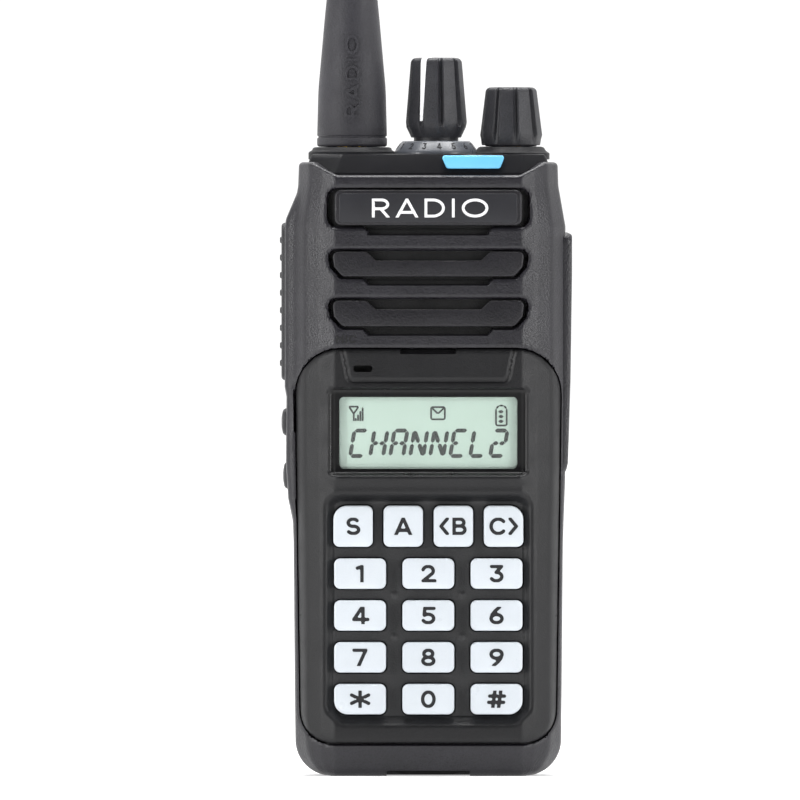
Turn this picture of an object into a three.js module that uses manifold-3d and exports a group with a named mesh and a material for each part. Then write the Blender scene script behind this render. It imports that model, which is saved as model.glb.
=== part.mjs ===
// A handheld two way radio as an assembly: front case, display and keypad panel, keys, grille inserts,
// speaker, boards, die-cast chassis, top cover with its two rotary controls, antenna, side keys, jack
// cover, and a battery pack that carries a sprung belt clip.
// Millimetres. +X to the user's right, -Y out of the front face, +Z up. Z = 0 is the base, and Y = 0 the
// parting plane between the radio and its battery pack.
import * as THREE from "three";
import { mergeVertices } from "three/addons/utils/BufferGeometryUtils.js";
import Module from "manifold-3d";

const wasm = await Module();
wasm.setup();

// ---------------------------------------------------------------- driving dimensions
const HALF_WIDTH = 27.0; // widest half width of the case
const FRONT = -20.0; // the flat middle of the front face
const PLATEAU = 18.3; // half width of that flat middle
const WALL = 2.2; // case wall
const CASE_BACK = -0.3; // rear edge of the front case
const DECK = 122.3; // top deck
const CASE_TOP_FRONT = 118.2; // case rim at the front
const CASE_TOP_SIDE = 120.8; // case rim at the sides
const BATTERY_TOP = 88.0;
const BATTERY_BACK = 14.0;
const BATTERY_HALF = 25.9;
const REAR_BLOCK_BACK = 13.0; // exposed back of the chassis above the battery
const GAP = 0.3; // clearance between neighbouring pieces
const CONTROLS_Y = -4.5; // the antenna and both knobs stand on this line
const ANTENNA_X = -15.0;
const CHANNEL_X = 1.5;
const VOLUME_X = 16.3;
const ANTENNA_TIP = 280.0;
const PANEL_TOP = 83.9;
const PANEL_BOTTOM = 6.4;
const PANEL_BACK = -13.0; // rear edge of the panel's tray
const KEY_FLOOR = -18.9; // the sunk floor around the keys
const KEY_FACE = -19.9;
const KEY_INNER = -17.3; // rear face of the panel behind the keys
const KEY_COLUMN_PITCH = 13.4;
const KEY_ROW_PITCH = 8.22;
const NUMBER_KEY = { width: 10.2, height: 6.0, top: 39.8 };
const FUNCTION_KEY = { width: 7.75, height: 8.1, z: 49.1, pitch: 9.85 };
const GRILLE = { halfWidth: 19.9, slitHalf: 12.9 };
const NOTCH = { halfWidth: 8.2, height: 1.05 }; // relief in the base for the battery latch
const LCD_OPENING = { x: 18.7, z0: 59.9, z1: 75.3 };
const PTT = { y0: -10.4, y1: -2.8, z0: 77.8, z1: 108.8, face: -28.9 };
const SIDE_KEYS = {
  side_key_upper: { y0: -10.5, y1: -4.5, z0: 66.9, z1: 72.3, face: -28.7 },
  side_key_lower: { y0: -10.5, y1: -4.5, z0: 56.4, z1: 61.8, face: -28.4 },
};
const COVER = { y0: -12.5, y1: -2.0, z0: 59.4, z1: 106.9 }; // jack cover
const JACKS = [
  { r: 1.8, y: -7.4, z: 93.5 },
  { r: 1.3, y: -7.4, z: 84.5 },
];
const SCREW = { y: -7.4, z: 67.0, headBack: 27.05, headFace: 27.6 }; // holds the jack cover, head sunk in it
const SPEAKER = { x: 0, z: 101.1, r: 14.6 };
const RAIL = { x: 18, hooks: [16, 36, 60], length: 8 }; // battery guides
const COIL = { r: 1.35, turns: 14, z0: 132, z1: 268 }; // radiating element of the antenna
const SHAFT = { r: 2.0, foot: 110, flat: 1.4, flatFoot: 124.4 }; // both rotary shafts
const CLIP = { pivotY: 17.0, pivotZ: 72.0, halfWidth: 8.6, inner: 19.0, outer: 20.6 };
const CLIP_SCREW = { x: 6.8, z: 78.0 };

// ---------------------------------------------------------------- materials
const look = (settings) => new THREE.MeshStandardMaterial(settings);
const plastic = (color, roughness = 0.6) => look({ color, roughness, metalness: 0 });
const metal = (color, roughness = 0.35) => look({ color, roughness, metalness: 1 });
const MATERIALS = {
  case: plastic(0x3c3b40),
  panel: plastic(0x333334),
  cover: plastic(0x2b2b2e, 0.45),
  rubber: plastic(0x232325, 0.8),
  key: plastic(0xe9eef4, 0.4),
  clear: look({ color: 0xdfeee4, roughness: 0.08, transparent: true, opacity: 0.3 }),
  display: plastic(0xc9e3d2, 0.3),
  lamp: plastic(0x5cc4f0, 0.2),
  board: plastic(0x1e5a38, 0.5),
  aluminium: metal(0x8c8e92, 0.45),
  steel: metal(0xb4b6ba),
  brass: metal(0xc9a24a),
  cone: plastic(0x2a2a2a, 0.9),
  cell: plastic(0x4d6f8f, 0.5),
};

// ---------------------------------------------------------------- solids
// A THREE geometry as a manifold solid.
function solid(geometry) {
  const bare = geometry.clone();
  bare.deleteAttribute("normal");
  bare.deleteAttribute("uv");
  const merged = mergeVertices(bare, 1e-4);
  return new wasm.Manifold(
    new wasm.Mesh({
      numProp: 3,
      vertProperties: merged.attributes.position.array,
      triVerts: new Uint32Array(merged.index.array),
    }),
  );
}

// A closed outline from corners [u, v, radius], each rounded where it has a radius.
function outline(corners) {
  const shape = new THREE.Shape();
  corners.forEach(([u, v, radius = 0], i) => {
    const corner = new THREE.Vector2(u, v);
    const toward = (j) => new THREE.Vector2(...corners.at(j % corners.length).slice(0, 2)).sub(corner);
    const [before, after] = [toward(i - 1), toward(i + 1)];
    const reach = radius / Math.tan(before.angleTo(after) / 2);
    const start = corner.clone().addScaledVector(before.normalize(), reach);
    const end = corner.clone().addScaledVector(after.normalize(), reach);
    if (i === 0) shape.moveTo(start.x, start.y);
    else shape.lineTo(start.x, start.y);
    if (radius > 0) shape.quadraticCurveTo(u, v, end.x, end.y);
  });
  shape.closePath();
  return shape;
}

const extruded = (corners, depth, steps) =>
  new THREE.ExtrudeGeometry(outline(corners), { depth, bevelEnabled: false, curveSegments: steps });
// An outline in plan (x, y), drawn up from z0 to z1.
const planPrism = (corners, z0, z1, steps = 3) =>
  solid(extruded(corners, z1 - z0, steps).translate(0, 0, z0));
// An outline seen from the front (x, z), drawn back from y0 to y1.
const frontPrism = (corners, y0, y1, steps = 4) =>
  solid(extruded(corners, y1 - y0, steps).rotateX(Math.PI / 2).translate(0, y1, 0));
// An outline seen from the side (y, z), drawn across from x0 to x1.
const sidePrism = (corners, x0, x1, steps = 3) => {
  const upright = extruded(corners, x1 - x0, steps).rotateX(Math.PI / 2);
  return solid(upright.rotateZ(Math.PI / 2).translate(x0, 0, 0));
};

function block(x0, x1, y0, y1, z0, z1) {
  const box = new THREE.BoxGeometry(x1 - x0, y1 - y0, z1 - z0);
  return solid(box.translate((x0 + x1) / 2, (y0 + y1) / 2, (z0 + z1) / 2));
}
const rounded = (u0, u1, v0, v1, r) => [
  [u0, v0, r],
  [u1, v0, r],
  [u1, v1, r],
  [u0, v1, r],
];
// A body of revolution about a vertical axis through (x, y), from a profile of [radius, z] running upwards.
function turned(profile, x, y, sides = 20) {
  const points = profile.map(([r, z]) => new THREE.Vector2(r, z));
  return solid(new THREE.LatheGeometry(points, sides).rotateX(Math.PI / 2).translate(x, y, 0));
}
const peg = (r, x, y, z0, z1, sides = 16) => turned([[0, z0], [r, z0], [r, z1], [0, z1]], x, y, sides);
// Round pieces that lie along Y or X.
function pegBack(r, x, z, y0, y1, sides = 20) {
  const rod = new THREE.CylinderGeometry(r, r, y1 - y0, sides);
  return solid(rod.translate(x, (y0 + y1) / 2, z));
}
function pegAcross(r, y, z, x0, x1, sides = 16) {
  const rod = new THREE.CylinderGeometry(r, r, x1 - x0, sides).rotateZ(Math.PI / 2);
  return solid(rod.translate((x0 + x1) / 2, y, z));
}

// Named meshes of the finished group.
const radio = new THREE.Group();
function add(name, body, material) {
  const { vertProperties, triVerts } = body.getMesh();
  const geometry = new THREE.BufferGeometry()
    .setAttribute("position", new THREE.BufferAttribute(vertProperties, 3))
    .setIndex(new THREE.BufferAttribute(triVerts, 1));
  geometry.computeVertexNormals();
  const mesh = new THREE.Mesh(geometry, material);
  mesh.name = name;
  radio.add(mesh);
}

// ---------------------------------------------------------------- the body's outer form
// Front silhouette, pulled in by an inset.
const silhouette = (inset = 0, top = 122) => [
  [-26.1 + inset, inset, 7 - inset / 2],
  [26.1 - inset, inset, 7 - inset / 2],
  [26.5 - inset, 46],
  [HALF_WIDTH - inset, 60],
  [HALF_WIDTH - inset, 108],
  [25.6 - inset, 116],
  [25.4 - inset, top],
  [-25.4 + inset, top],
  [-25.6 + inset, 116],
  [-HALF_WIDTH + inset, 108],
  [-HALF_WIDTH + inset, 60],
  [-26.5 + inset, 46],
];
// Plan section: flat middle, sloping shoulders, straight sides.
const section = (inset = 0, back = CASE_BACK) => [
  [-PLATEAU + inset / 3, FRONT + inset, 2],
  [PLATEAU - inset / 3, FRONT + inset, 2],
  [25.4 - inset, -16.4 + inset, 3],
  [HALF_WIDTH - inset, -12, 1],
  [HALF_WIDTH - inset, back],
  [-HALF_WIDTH + inset, back],
  [-HALF_WIDTH + inset, -12, 1],
  [-25.4 + inset, -16.4 + inset, 3],
];
// Side section: leaning chin, upright front, and a rim that rises towards the back.
const sideSection = [
  [-17.6, 0, 1.5],
  [FRONT, 7, 4],
  [FRONT, CASE_TOP_FRONT],
  [-14.2, CASE_TOP_SIDE],
  [CASE_BACK, CASE_TOP_SIDE],
  [CASE_BACK, 0],
];
const panelOutline = (grow = 0) => [
  [-25.0 - grow, PANEL_BOTTOM - grow, 6.5],
  [25.0 + grow, PANEL_BOTTOM - grow, 6.5],
  [25.8 + grow, 60],
  [26.1 + grow, PANEL_TOP + grow, 8.8],
  [-26.1 - grow, PANEL_TOP + grow, 8.8],
  [-25.8 - grow, 60],
];
const bodyForm = () =>
  frontPrism(silhouette(), FRONT - 1, CASE_BACK, 5)
    .intersect(planPrism(section(), -1, 123))
    .intersect(sidePrism(sideSection, -30, 30));

// ---------------------------------------------------------------- keys
const keys = [
  ...["s", "a", "b", "c"].map((name, i) => ({
    name: `key_${name}`,
    x: (i - 1.5) * FUNCTION_KEY.pitch,
    z: FUNCTION_KEY.z,
    width: FUNCTION_KEY.width,
    height: FUNCTION_KEY.height,
    cut: { s: "topLeft", c: "topRight" }[name],
  })),
  ...["1", "2", "3", "4", "5", "6", "7", "8", "9", "star", "0", "hash"].map((name, i) => ({
    name: `key_${name}`,
    x: ((i % 3) - 1) * KEY_COLUMN_PITCH,
    z: NUMBER_KEY.top - Math.floor(i / 3) * KEY_ROW_PITCH,
    width: NUMBER_KEY.width,
    height: NUMBER_KEY.height,
    cut: { star: "bottomLeft", hash: "bottomRight" }[name],
  })),
];
// A key's outline; one outer corner of each corner key is cut back with a larger radius.
function keyOutline({ x, z, width, height, cut }, grow = 0) {
  const radius = (corner) => (corner === cut ? 2.8 : 1.1) + grow / 2;
  const [u, v] = [width / 2 + grow, height / 2 + grow];
  return [
    [x - u, z - v, radius("bottomLeft")],
    [x + u, z - v, radius("bottomRight")],
    [x + u, z + v, radius("topRight")],
    [x - u, z + v, radius("topLeft")],
  ];
}

// ---------------------------------------------------------------- grille
// Three wide recesses hold the name plate and two bars. Slits beside each let the sound out.
const grilleRecesses = [
  { z0: 107.7, z1: 115.5 },
  { z0: 97.7, z1: 103.5 },
  { z0: 87.9, z1: 93.8 },
];
const slits = [
  { z0: 106.5, z1: 107.9 },
  { z0: 101.8, z1: 103.4 },
  { z0: 96.6, z1: 98.0 },
  { z0: 92.1, z1: 93.7 },
  { z0: 86.6, z1: 88.2 },
];
const barOutline = ({ z0, z1 }) => [
  [-18.3, z0 + 0.4, 2],
  [18.3, z0 + 0.4, 2],
  [18.9, z1 - 0.4, 1],
  [12.4, z1 - 0.4],
  [10.6, z1 - 1.8],
  [-10.6, z1 - 1.8],
  [-12.4, z1 - 0.4],
  [-18.9, z1 - 0.4, 1],
];
function grilleCuts() {
  const recesses = grilleRecesses.map(({ z0, z1 }) => [
    [-18.6, z0, 2],
    [18.6, z0, 2],
    [GRILLE.halfWidth, z1, 1.4],
    [-GRILLE.halfWidth, z1, 1.4],
  ]);
  const openings = slits.map(({ z0, z1 }) => rounded(-GRILLE.slitHalf, GRILLE.slitHalf, z0, z1, 0));
  return [
    ...recesses.map((corners) => frontPrism(corners, FRONT - 1, -18.6, 3)),
    ...openings.map((corners) => frontPrism(corners, FRONT - 1, -17)),
  ].reduce((all, one) => all.add(one));
}

// ---------------------------------------------------------------- front case
function frontCase() {
  // Raised surrounds of the push-to-talk bar and of the two side keys.
  const surround = frontPrism(
    [
      [-25.5, 50],
      [-25.5, 114.5],
      [-26.0, 114.5],
      [-28.2, 110.2, 1],
      [-28.2, 76.2, 1],
      [-27.7, 74],
      [-27.7, 54],
      [-26.5, 50],
    ].reverse(),
    -14.2,
    -1.4,
    2,
  ).intersect(
    planPrism(
      [
        [-28.4, -2.6],
        [-28.4, -12.6],
        [-26.0, -14.4],
        [-25.0, -14.4],
        [-25.0, -1.2],
        [-27.0, -1.2],
      ].reverse(),
      40,
      120,
    ),
  );
  const belowGrille = block(-30, 30, -20, 1, 0, 86);
  const lowerCavity = frontPrism(silhouette(WALL - 0.2, 120), -11.2, 1).intersect(belowGrille);
  const ledgeWindow = frontPrism(panelOutline(-3), -12.8, -11, 3);
  const upperCavity = planPrism(section(WALL, 1), 86, 121).intersect(
    frontPrism(silhouette(2, 125), -19, 1),
  );
  let body = bodyForm()
    .add(surround)
    .subtract(frontPrism(panelOutline(GAP), FRONT - 2, -12.7, 4))
    .subtract(lowerCavity)
    .subtract(ledgeWindow)
    .subtract(upperCavity)
    .subtract(block(-24.6, 24.6, -18.9, 1, 115.8, 125)) // seat of the top cover
    .subtract(grilleCuts())
    .subtract(block(-30, 30, -4.8, 2, -1, 2.4)); // the base wall stops short of the chassis
  // Window for the push-to-talk bar and the side keys.
  body = body.subtract(
    sidePrism(rounded(PTT.y0 - GAP, PTT.y1 + GAP, PTT.z0 - GAP, PTT.z1 + GAP, 2), -30, -22),
  );
  for (const key of Object.values(SIDE_KEYS))
    body = body.subtract(
      sidePrism(rounded(key.y0 - GAP, key.y1 + GAP, key.z0 - GAP, key.z1 + GAP, 1.5), -30, -22),
    );
  // Seat of the jack cover, jack holes and the cover's screw hole.
  body = body.subtract(
    sidePrism(rounded(COVER.y0 - GAP, COVER.y1 + GAP, COVER.z0 - GAP, COVER.z1 + GAP, 2), 25.9, 30),
  );
  for (const jack of JACKS) body = body.subtract(pegAcross(jack.r + 0.5, jack.y, jack.z, 22, 30, 12));
  body = body.subtract(pegAcross(1.7, SCREW.y, SCREW.z, 22, 30, 12));
  // Relief for the battery latch.
  const relief = [
    [-NOTCH.halfWidth, -1],
    [NOTCH.halfWidth, -1],
    [NOTCH.halfWidth, 0],
    [NOTCH.halfWidth - 0.8, NOTCH.height],
    [-NOTCH.halfWidth + 0.8, NOTCH.height],
    [-NOTCH.halfWidth, 0],
  ];
  return body.subtract(frontPrism(relief, FRONT - 2, 1));
}

// ---------------------------------------------------------------- display and keypad panel
function frontPanel() {
  const tray = planPrism(
    [
      [-17.5, -18.0],
      [17.5, -18.0],
      [24.0, -14.6],
      [24.0, -10],
      [-24.0, -10],
      [-24.0, -14.6],
    ],
    8.4,
    82,
  );
  const keyFloor = [
    [-20.6, 10.6, 3],
    [20.6, 10.6, 3],
    [20.6, 55.4, 2],
    [-20.6, 55.4, 2],
  ];
  let panel = bodyForm()
    .intersect(frontPrism(panelOutline(), FRONT - 1, PANEL_BACK, 6))
    .subtract(tray)
    .add(frontPrism(keyFloor, -18.4, KEY_INNER, 3))
    .subtract(frontPrism(keyFloor, FRONT - 1, KEY_FLOOR, 3));
  for (const key of keys) panel = panel.subtract(frontPrism(keyOutline(key, GAP), FRONT - 1, -16, 2));
  const bezel = rounded(-19.6, 19.6, 59.2, 76.2, 1);
  return panel
    .subtract(frontPrism(bezel, FRONT - 1, -19.2, 2))
    .subtract(
      frontPrism(rounded(-LCD_OPENING.x, LCD_OPENING.x, LCD_OPENING.z0, LCD_OPENING.z1, 0.8), -21, -16, 2),
    )
    .subtract(frontPrism(rounded(-14.7, -11.0, 79.4, 80.7, 0.3), FRONT - 1, -16, 2)) // microphone slot
    .subtract(frontPrism(rounded(-5.35, 5.35, 83.2, 85, 0), FRONT - 1, -18.6)); // vent in the top edge
}

function keyCap(key) {
  return frontPrism(keyOutline(key), KEY_FACE, -16.9, 2).add(
    frontPrism(keyOutline(key, 0.7), KEY_INNER + GAP, -16.3, 2),
  );
}

// ---------------------------------------------------------------- display, microphone, speaker, boards
const DISPLAY_WINDOW = frontPrism(rounded(-18.4, 18.4, 60.2, 75.0, 0.7), -18.9, -17.9, 2);
const LCD_MODULE = block(-17.3, 17.3, -17.6, -14.6, 58.2, 77.6);
const MIC = pegBack(1.7, -12.9, 80.05, -17.7, -14.6, 14);

function keypadMat() {
  let mat = block(-20.4, 20.4, -15.3, -14.6, 10.4, 54.6);
  for (const { x, z } of keys) mat = mat.add(block(x - 2, x + 2, -15.6, -15.0, z - 1.5, z + 1.5));
  return mat;
}
const KEYPAD_BOARD = block(-21, 21, -14.2, -13.2, 9.4, 81.6);
const MAIN_BOARD = block(-22, 22, -9.5, -8.3, 8, 106)
  .subtract(block(16.4, 24, -12, -6, 79, 99))
  .add(block(-14, 12, -8.3, -6.2, 20, 62)) // shielding can over the radio section
  .add(block(-10, 10, -10.9, -9.5, 30, 50)); // processor side components

function aboutY(profile, sides = 24) {
  const points = profile.map(([r, y]) => new THREE.Vector2(r, y));
  return solid(new THREE.LatheGeometry(points, sides).translate(SPEAKER.x, 0, SPEAKER.z));
}
const SPEAKER_FRAME = aboutY([
  [0, -14.3],
  [7.4, -14.3],
  [13.6, -16.2],
  [13.6, -17.4],
  [SPEAKER.r, -17.4],
  [SPEAKER.r, -14.9],
  [9.0, -13.6],
  [9.0, -11.6],
  [0, -11.6],
]);
const SPEAKER_CONE = aboutY([
  [0, -15.2],
  [3.4, -16.2],
  [7.6, -14.9],
  [12.9, -17.0],
  [13.2, -16.7],
  [7.6, -14.6],
  [0, -14.6],
]);

// ---------------------------------------------------------------- chassis
function chassis() {
  // Battery guide grooves: a wide foot under two lips, open at the base.
  const groove = (side) =>
    block(side * RAIL.x - 2, side * RAIL.x + 2, -2.8, -1.0, -1, 73).add(
      block(side * RAIL.x - 1, side * RAIL.x + 1, -1.2, 0.5, -1, 73),
    );
  const plate = frontPrism(
    [
      [-19.5, 1.0],
      [-8.6, 1.0],
      [-8.6, 3.2],
      [8.6, 3.2],
      [8.6, 1.0],
      [19.5, 1.0],
      [23.0, 5.5],
      [23.0, 94],
      [-23.0, 94],
      [-23.0, 5.5],
    ],
    -4.5,
    CASE_BACK,
  );
  const rear = [
    [-25.4, 0],
    [25.4, 0],
    [25.4, 9.6, 2],
    [21.6, REAR_BLOCK_BACK, 3],
    [-21.6, REAR_BLOCK_BACK, 3],
    [-25.4, 9.6, 2],
  ];
  const rearShell = planPrism(rear, 88.4, 118.2).subtract(block(-22, 22, -1, 10.4, 94, 119));
  const bridge = block(-22.8, 22.8, -4.5, 1, 88.6, 93.8);
  // Cooling ribs across the exposed back.
  const ribs = [0, 1, 2, 3, 4, 5]
    .map((i) => 92.4 + i * 3.6)
    .map((z) => block(-15, 15, 12.5, 13.7, z, z + 1.2))
    .reduce((all, one) => all.add(one));
  const tongueSlots = block(-12, -6, -1.5, 3.6, 86, 91.4).add(block(6, 12, -1.5, 3.6, 86, 91.4));
  return plate
    .add(bridge)
    .add(rearShell)
    .add(ribs)
    .subtract(groove(-1))
    .subtract(groove(1))
    .subtract(tongueSlots);
}

// ---------------------------------------------------------------- top cover, lamp and rotary controls
function topCover() {
  const slab = frontPrism(
    [
      [-24.3, 116.2],
      [24.3, 116.2],
      [24.3, 121.0],
      [23.3, DECK, 0.6],
      [-23.3, DECK, 0.6],
      [-24.3, 121.0],
    ],
    -18.6,
    REAR_BLOCK_BACK,
  ).intersect(
    planPrism(
      [
        [-18.6, -18.6, 1.5],
        [18.6, -18.6, 1.5],
        [24.3, -15.6, 1],
        [24.3, 10, 2],
        [21.4, REAR_BLOCK_BACK, 3],
        [-21.4, REAR_BLOCK_BACK, 3],
        [-24.3, 10, 2],
        [-24.3, -15.6, 1],
      ],
      110,
      125,
    ),
  );
  const hollow = block(-22.6, 22.6, -16.6, 11, 115, 119.2);
  // The rear of the cover stands on the chassis.
  const rearRelief = block(-30, 30, 0.0, 20, 115, 118.5);
  const antennaBoss = [[0, 122], [7.9, 122], [7.9, 122.6], [7.0, 123.5], [0, 123.5]];
  const volumeBoss = [[0, 122], [6.4, 122], [6.2, 123.6], [0, 123.6]];
  const bosses = turned(antennaBoss, ANTENNA_X, CONTROLS_Y, 24).add(
    turned(volumeBoss, VOLUME_X, CONTROLS_Y, 24),
  );
  return slab
    .subtract(hollow)
    .subtract(rearRelief)
    .add(bosses)
    .subtract(peg(5.0, ANTENNA_X, CONTROLS_Y, 115, 126, 20))
    .subtract(peg(3.6, CHANNEL_X, CONTROLS_Y, 115, 126, 16))
    .subtract(peg(3.6, VOLUME_X, CONTROLS_Y, 115, 126, 16))
    .subtract(peg(4.6, VOLUME_X, CONTROLS_Y, DECK, 126, 16)) // room for the nut
    .subtract(frontPrism(LENS_SEAT, -20, -17.0));
}
const lensOutline = (grow) => [
  [3.5 - grow, 119.3 - grow],
  [14.1 + grow, 119.3 - grow],
  [15.0 + grow, 121.9 + grow],
  [2.5 - grow, 121.9 + grow],
];
const LENS_SEAT = lensOutline(0.15);
const STATUS_LENS = frontPrism(lensOutline(0), -19.0, -17.3);

const CHANNEL_RING = turned(
  [[4.7, DECK], [8.3, DECK], [8.3, 122.9], [6.7, 124.9], [4.7, 124.9], [4.7, DECK]],
  CHANNEL_X,
  CONTROLS_Y,
  32,
);

// A rotary control: square body, threaded bush with its nut, and a blind hole for the shaft.
function rotaryBody(x, half) {
  const nutTop = 123.7;
  return block(x - half, x + half, CONTROLS_Y - half, CONTROLS_Y + half, 108, 117.5)
    .add(peg(3.2, x, CONTROLS_Y, 117, nutTop, 16))
    .add(peg(4.2, x, CONTROLS_Y, DECK, nutTop - 0.2, 6))
    .subtract(peg(2.4, x, CONTROLS_Y, 109.5, 126, 16));
}
// Its shaft, with a flat that drives the knob.
function rotaryShaft(x, top) {
  const flat = block(x + SHAFT.flat, x + 3, CONTROLS_Y - 3.5, CONTROLS_Y + 4.5, SHAFT.flatFoot, top + 1);
  return peg(SHAFT.r, x, CONTROLS_Y, SHAFT.foot, top, 16).subtract(flat);
}

// A fluted knob: flutes are cut into a tapered body of revolution and fade out at both ends.
function knob(x, profile, flutes, bore) {
  const points = profile.map(([r, z]) => new THREE.Vector2(r, z));
  const body = new THREE.LatheGeometry(points, flutes * 4).rotateX(Math.PI / 2);
  const position = body.getAttribute("position");
  const top = Math.max(...profile.map(([, z]) => z));
  for (let i = 0; i < position.count; i += 1) {
    const [u, v, z] = [position.getX(i), position.getY(i), position.getZ(i)];
    const radius = Math.hypot(u, v);
    const wave = Math.cos(Math.atan2(v, u) * flutes);
    const depth = z < profile[2][1] || radius < 2 || z > top - 0.1 ? 0.12 : 0.42;
    const scale = radius > 0 ? (radius - depth * (0.5 - 0.5 * wave)) / radius : 1;
    position.setXY(i, u * scale, v * scale);
  }
  return solid(body.translate(x, CONTROLS_Y, 0)).subtract(peg(2.15, x, CONTROLS_Y, 120, bore, 16));
}
const CHANNEL_KNOB = knob(
  CHANNEL_X,
  [[0, 125.2], [5.0, 125.2], [6.27, 128.4], [5.1, 140.4], [4.4, 141.3], [0, 141.3]],
  9,
  139,
);
const VOLUME_KNOB = knob(
  VOLUME_X,
  [[0, 124.1], [5.7, 124.1], [6.4, 126.2], [5.2, 134.6], [4.4, 135.5], [0, 135.5]],
  8,
  133.4,
);

// ---------------------------------------------------------------- antenna
const ANTENNA_SOCKET = turned(
  [[3.3, 110], [5.8, 110], [5.8, 112], [4.6, 112], [4.6, 123.2], [3.3, 123.2], [3.3, 110]],
  ANTENNA_X,
  CONTROLS_Y,
  20,
);
const ANTENNA_CONNECTOR = turned(
  [[0, 113], [2.9, 113], [2.9, 124.2], [5.1, 124.2], [5.1, 125.0], [2.5, 125.0], [2.5, 131], [0, 131]],
  ANTENNA_X,
  CONTROLS_Y,
  20,
);
const ANTENNA_SHEATH = turned(
  [
    [5.4, 123.8],
    [6.9, 123.8],
    [6.9, 125.5],
    [6.7, 125.7],
    [6.9, 125.9],
    [6.7, 134.4],
    [5.35, 148.9],
    [4.1, 164],
    [3.4, 262],
    [3.75, 268],
    [3.75, 276],
    [2.6, 279.2],
    [0, ANTENNA_TIP],
    [0, 272],
    [2.3, 272],
    [2.3, 160],
    [2.8, 150],
    [2.8, 125.4],
    [5.4, 125.4],
    [5.4, 123.8],
  ],
  ANTENNA_X,
  CONTROLS_Y,
  24,
);
// The radiating element: a straight lead, then an open helix of wire.
function antennaCoil() {
  class Helix extends THREE.Curve {
    getPoint(t) {
      const angle = Math.PI * 2 * COIL.turns * t;
      const height = COIL.z0 + (COIL.z1 - COIL.z0) * t;
      return new THREE.Vector3(COIL.r * Math.cos(angle), COIL.r * Math.sin(angle), height);
    }
  }
  const wire = new THREE.Shape([
    new THREE.Vector2(-0.4, -0.4),
    new THREE.Vector2(0.4, -0.4),
    new THREE.Vector2(0.4, 0.4),
    new THREE.Vector2(-0.4, 0.4),
  ]);
  const helix = new THREE.ExtrudeGeometry(wire, { steps: COIL.turns * 8, extrudePath: new Helix() });
  return solid(helix.translate(ANTENNA_X, CONTROLS_Y, 0));
}

// ---------------------------------------------------------------- side controls and jack cover
function sideButton({ y0, y1, z0, z1, face }, radius, ribs) {
  const flangeInner = -24.1;
  let button = sidePrism(rounded(y0, y1, z0, z1, radius), face + 0.5, flangeInner).add(
    sidePrism(rounded(y0 - 0.6, y1 + 0.6, z0 - 0.6, z1 + 0.6, radius), -24.7, flangeInner),
  );
  button = button.add(sidePrism(rounded(y0 + 0.8, y1 - 0.8, z0 + 0.8, z1 - 0.8, radius), face, face + 1));
  for (let i = 0; i < ribs; i += 1) {
    const z = z0 + 3.2 + (i * (z1 - z0 - 6.4)) / (ribs - 1);
    button = button.add(block(face - 0.25, face + 0.5, y0 + 1.8, y1 - 1.8, z - 0.5, z + 0.5));
  }
  return button;
}
const JACK_BLOCK = JACKS.reduce(
  (body, jack) => body.subtract(pegAcross(jack.r, jack.y, jack.z, 19, 26, 12)),
  block(17.2, 24.5, -11, -4.9, 80, 98),
);
function jackCover() {
  const plate = sidePrism(rounded(COVER.y0, COVER.y1, COVER.z0, COVER.z1, 2), 26.2, 29).intersect(
    frontPrism(
      [
        [26.2, COVER.z0],
        [26.8, COVER.z0],
        [27.5, 61.5],
        [28.0, 78],
        [28.3, 99],
        [28.3, 106.2],
        [27.8, COVER.z1],
        [26.2, COVER.z1],
      ],
      -14,
      0,
    ),
  );
  return plate
    .subtract(pegAcross(1.7, SCREW.y, SCREW.z, 25, 29, 12))
    .subtract(pegAcross(2.9, SCREW.y, SCREW.z, 26.95, 29, 16));
}
const SCREW_SLOT = block(SCREW.headFace - 0.25, 29, SCREW.y - 0.35, SCREW.y + 0.35, SCREW.z - 3, SCREW.z + 3);
const JACK_SCREW = pegAcross(1.3, SCREW.y, SCREW.z, 23.2, SCREW.headBack + 0.1, 12)
  .add(pegAcross(2.5, SCREW.y, SCREW.z, SCREW.headBack, SCREW.headFace, 16))
  .subtract(SCREW_SLOT);

// ---------------------------------------------------------------- battery pack
const batteryOutline = (inset = 0) => [
  [-25.4 + inset, inset, 6.8 - inset / 2],
  [25.4 - inset, inset, 6.8 - inset / 2],
  [BATTERY_HALF - inset, 60],
  [BATTERY_HALF - inset, BATTERY_TOP - inset, 1.2],
  [-BATTERY_HALF + inset, BATTERY_TOP - inset, 1.2],
  [-BATTERY_HALF + inset, 60],
];
function batteryCase() {
  const plan = [
    [-BATTERY_HALF, 0],
    [BATTERY_HALF, 0],
    [BATTERY_HALF, 9.8, 2],
    [22.4, BATTERY_BACK, 3],
    [-22.4, BATTERY_BACK, 3],
    [-BATTERY_HALF, 9.8, 2],
  ];
  const latchSlot = block(-8, 8, -1, 9.2, -1, 2.1);
  const screwHole = (x) => pegBack(1.3, x, CLIP_SCREW.z, 12, 15, 12);
  // Two tongues at the top hang in the chassis.
  const tongue = (x) => block(x - 2.6, x + 2.6, 0.6, 2.4, 86, 90.4);
  return frontPrism(batteryOutline(), 0, BATTERY_BACK, 5)
    .intersect(planPrism(plan, -1, 90))
    .subtract(frontPrism(batteryOutline(2), -1, 12.2, 3))
    .subtract(latchSlot)
    .add(tongue(-9))
    .add(tongue(9))
    .subtract(screwHole(-CLIP_SCREW.x))
    .subtract(screwHole(CLIP_SCREW.x));
}
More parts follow.
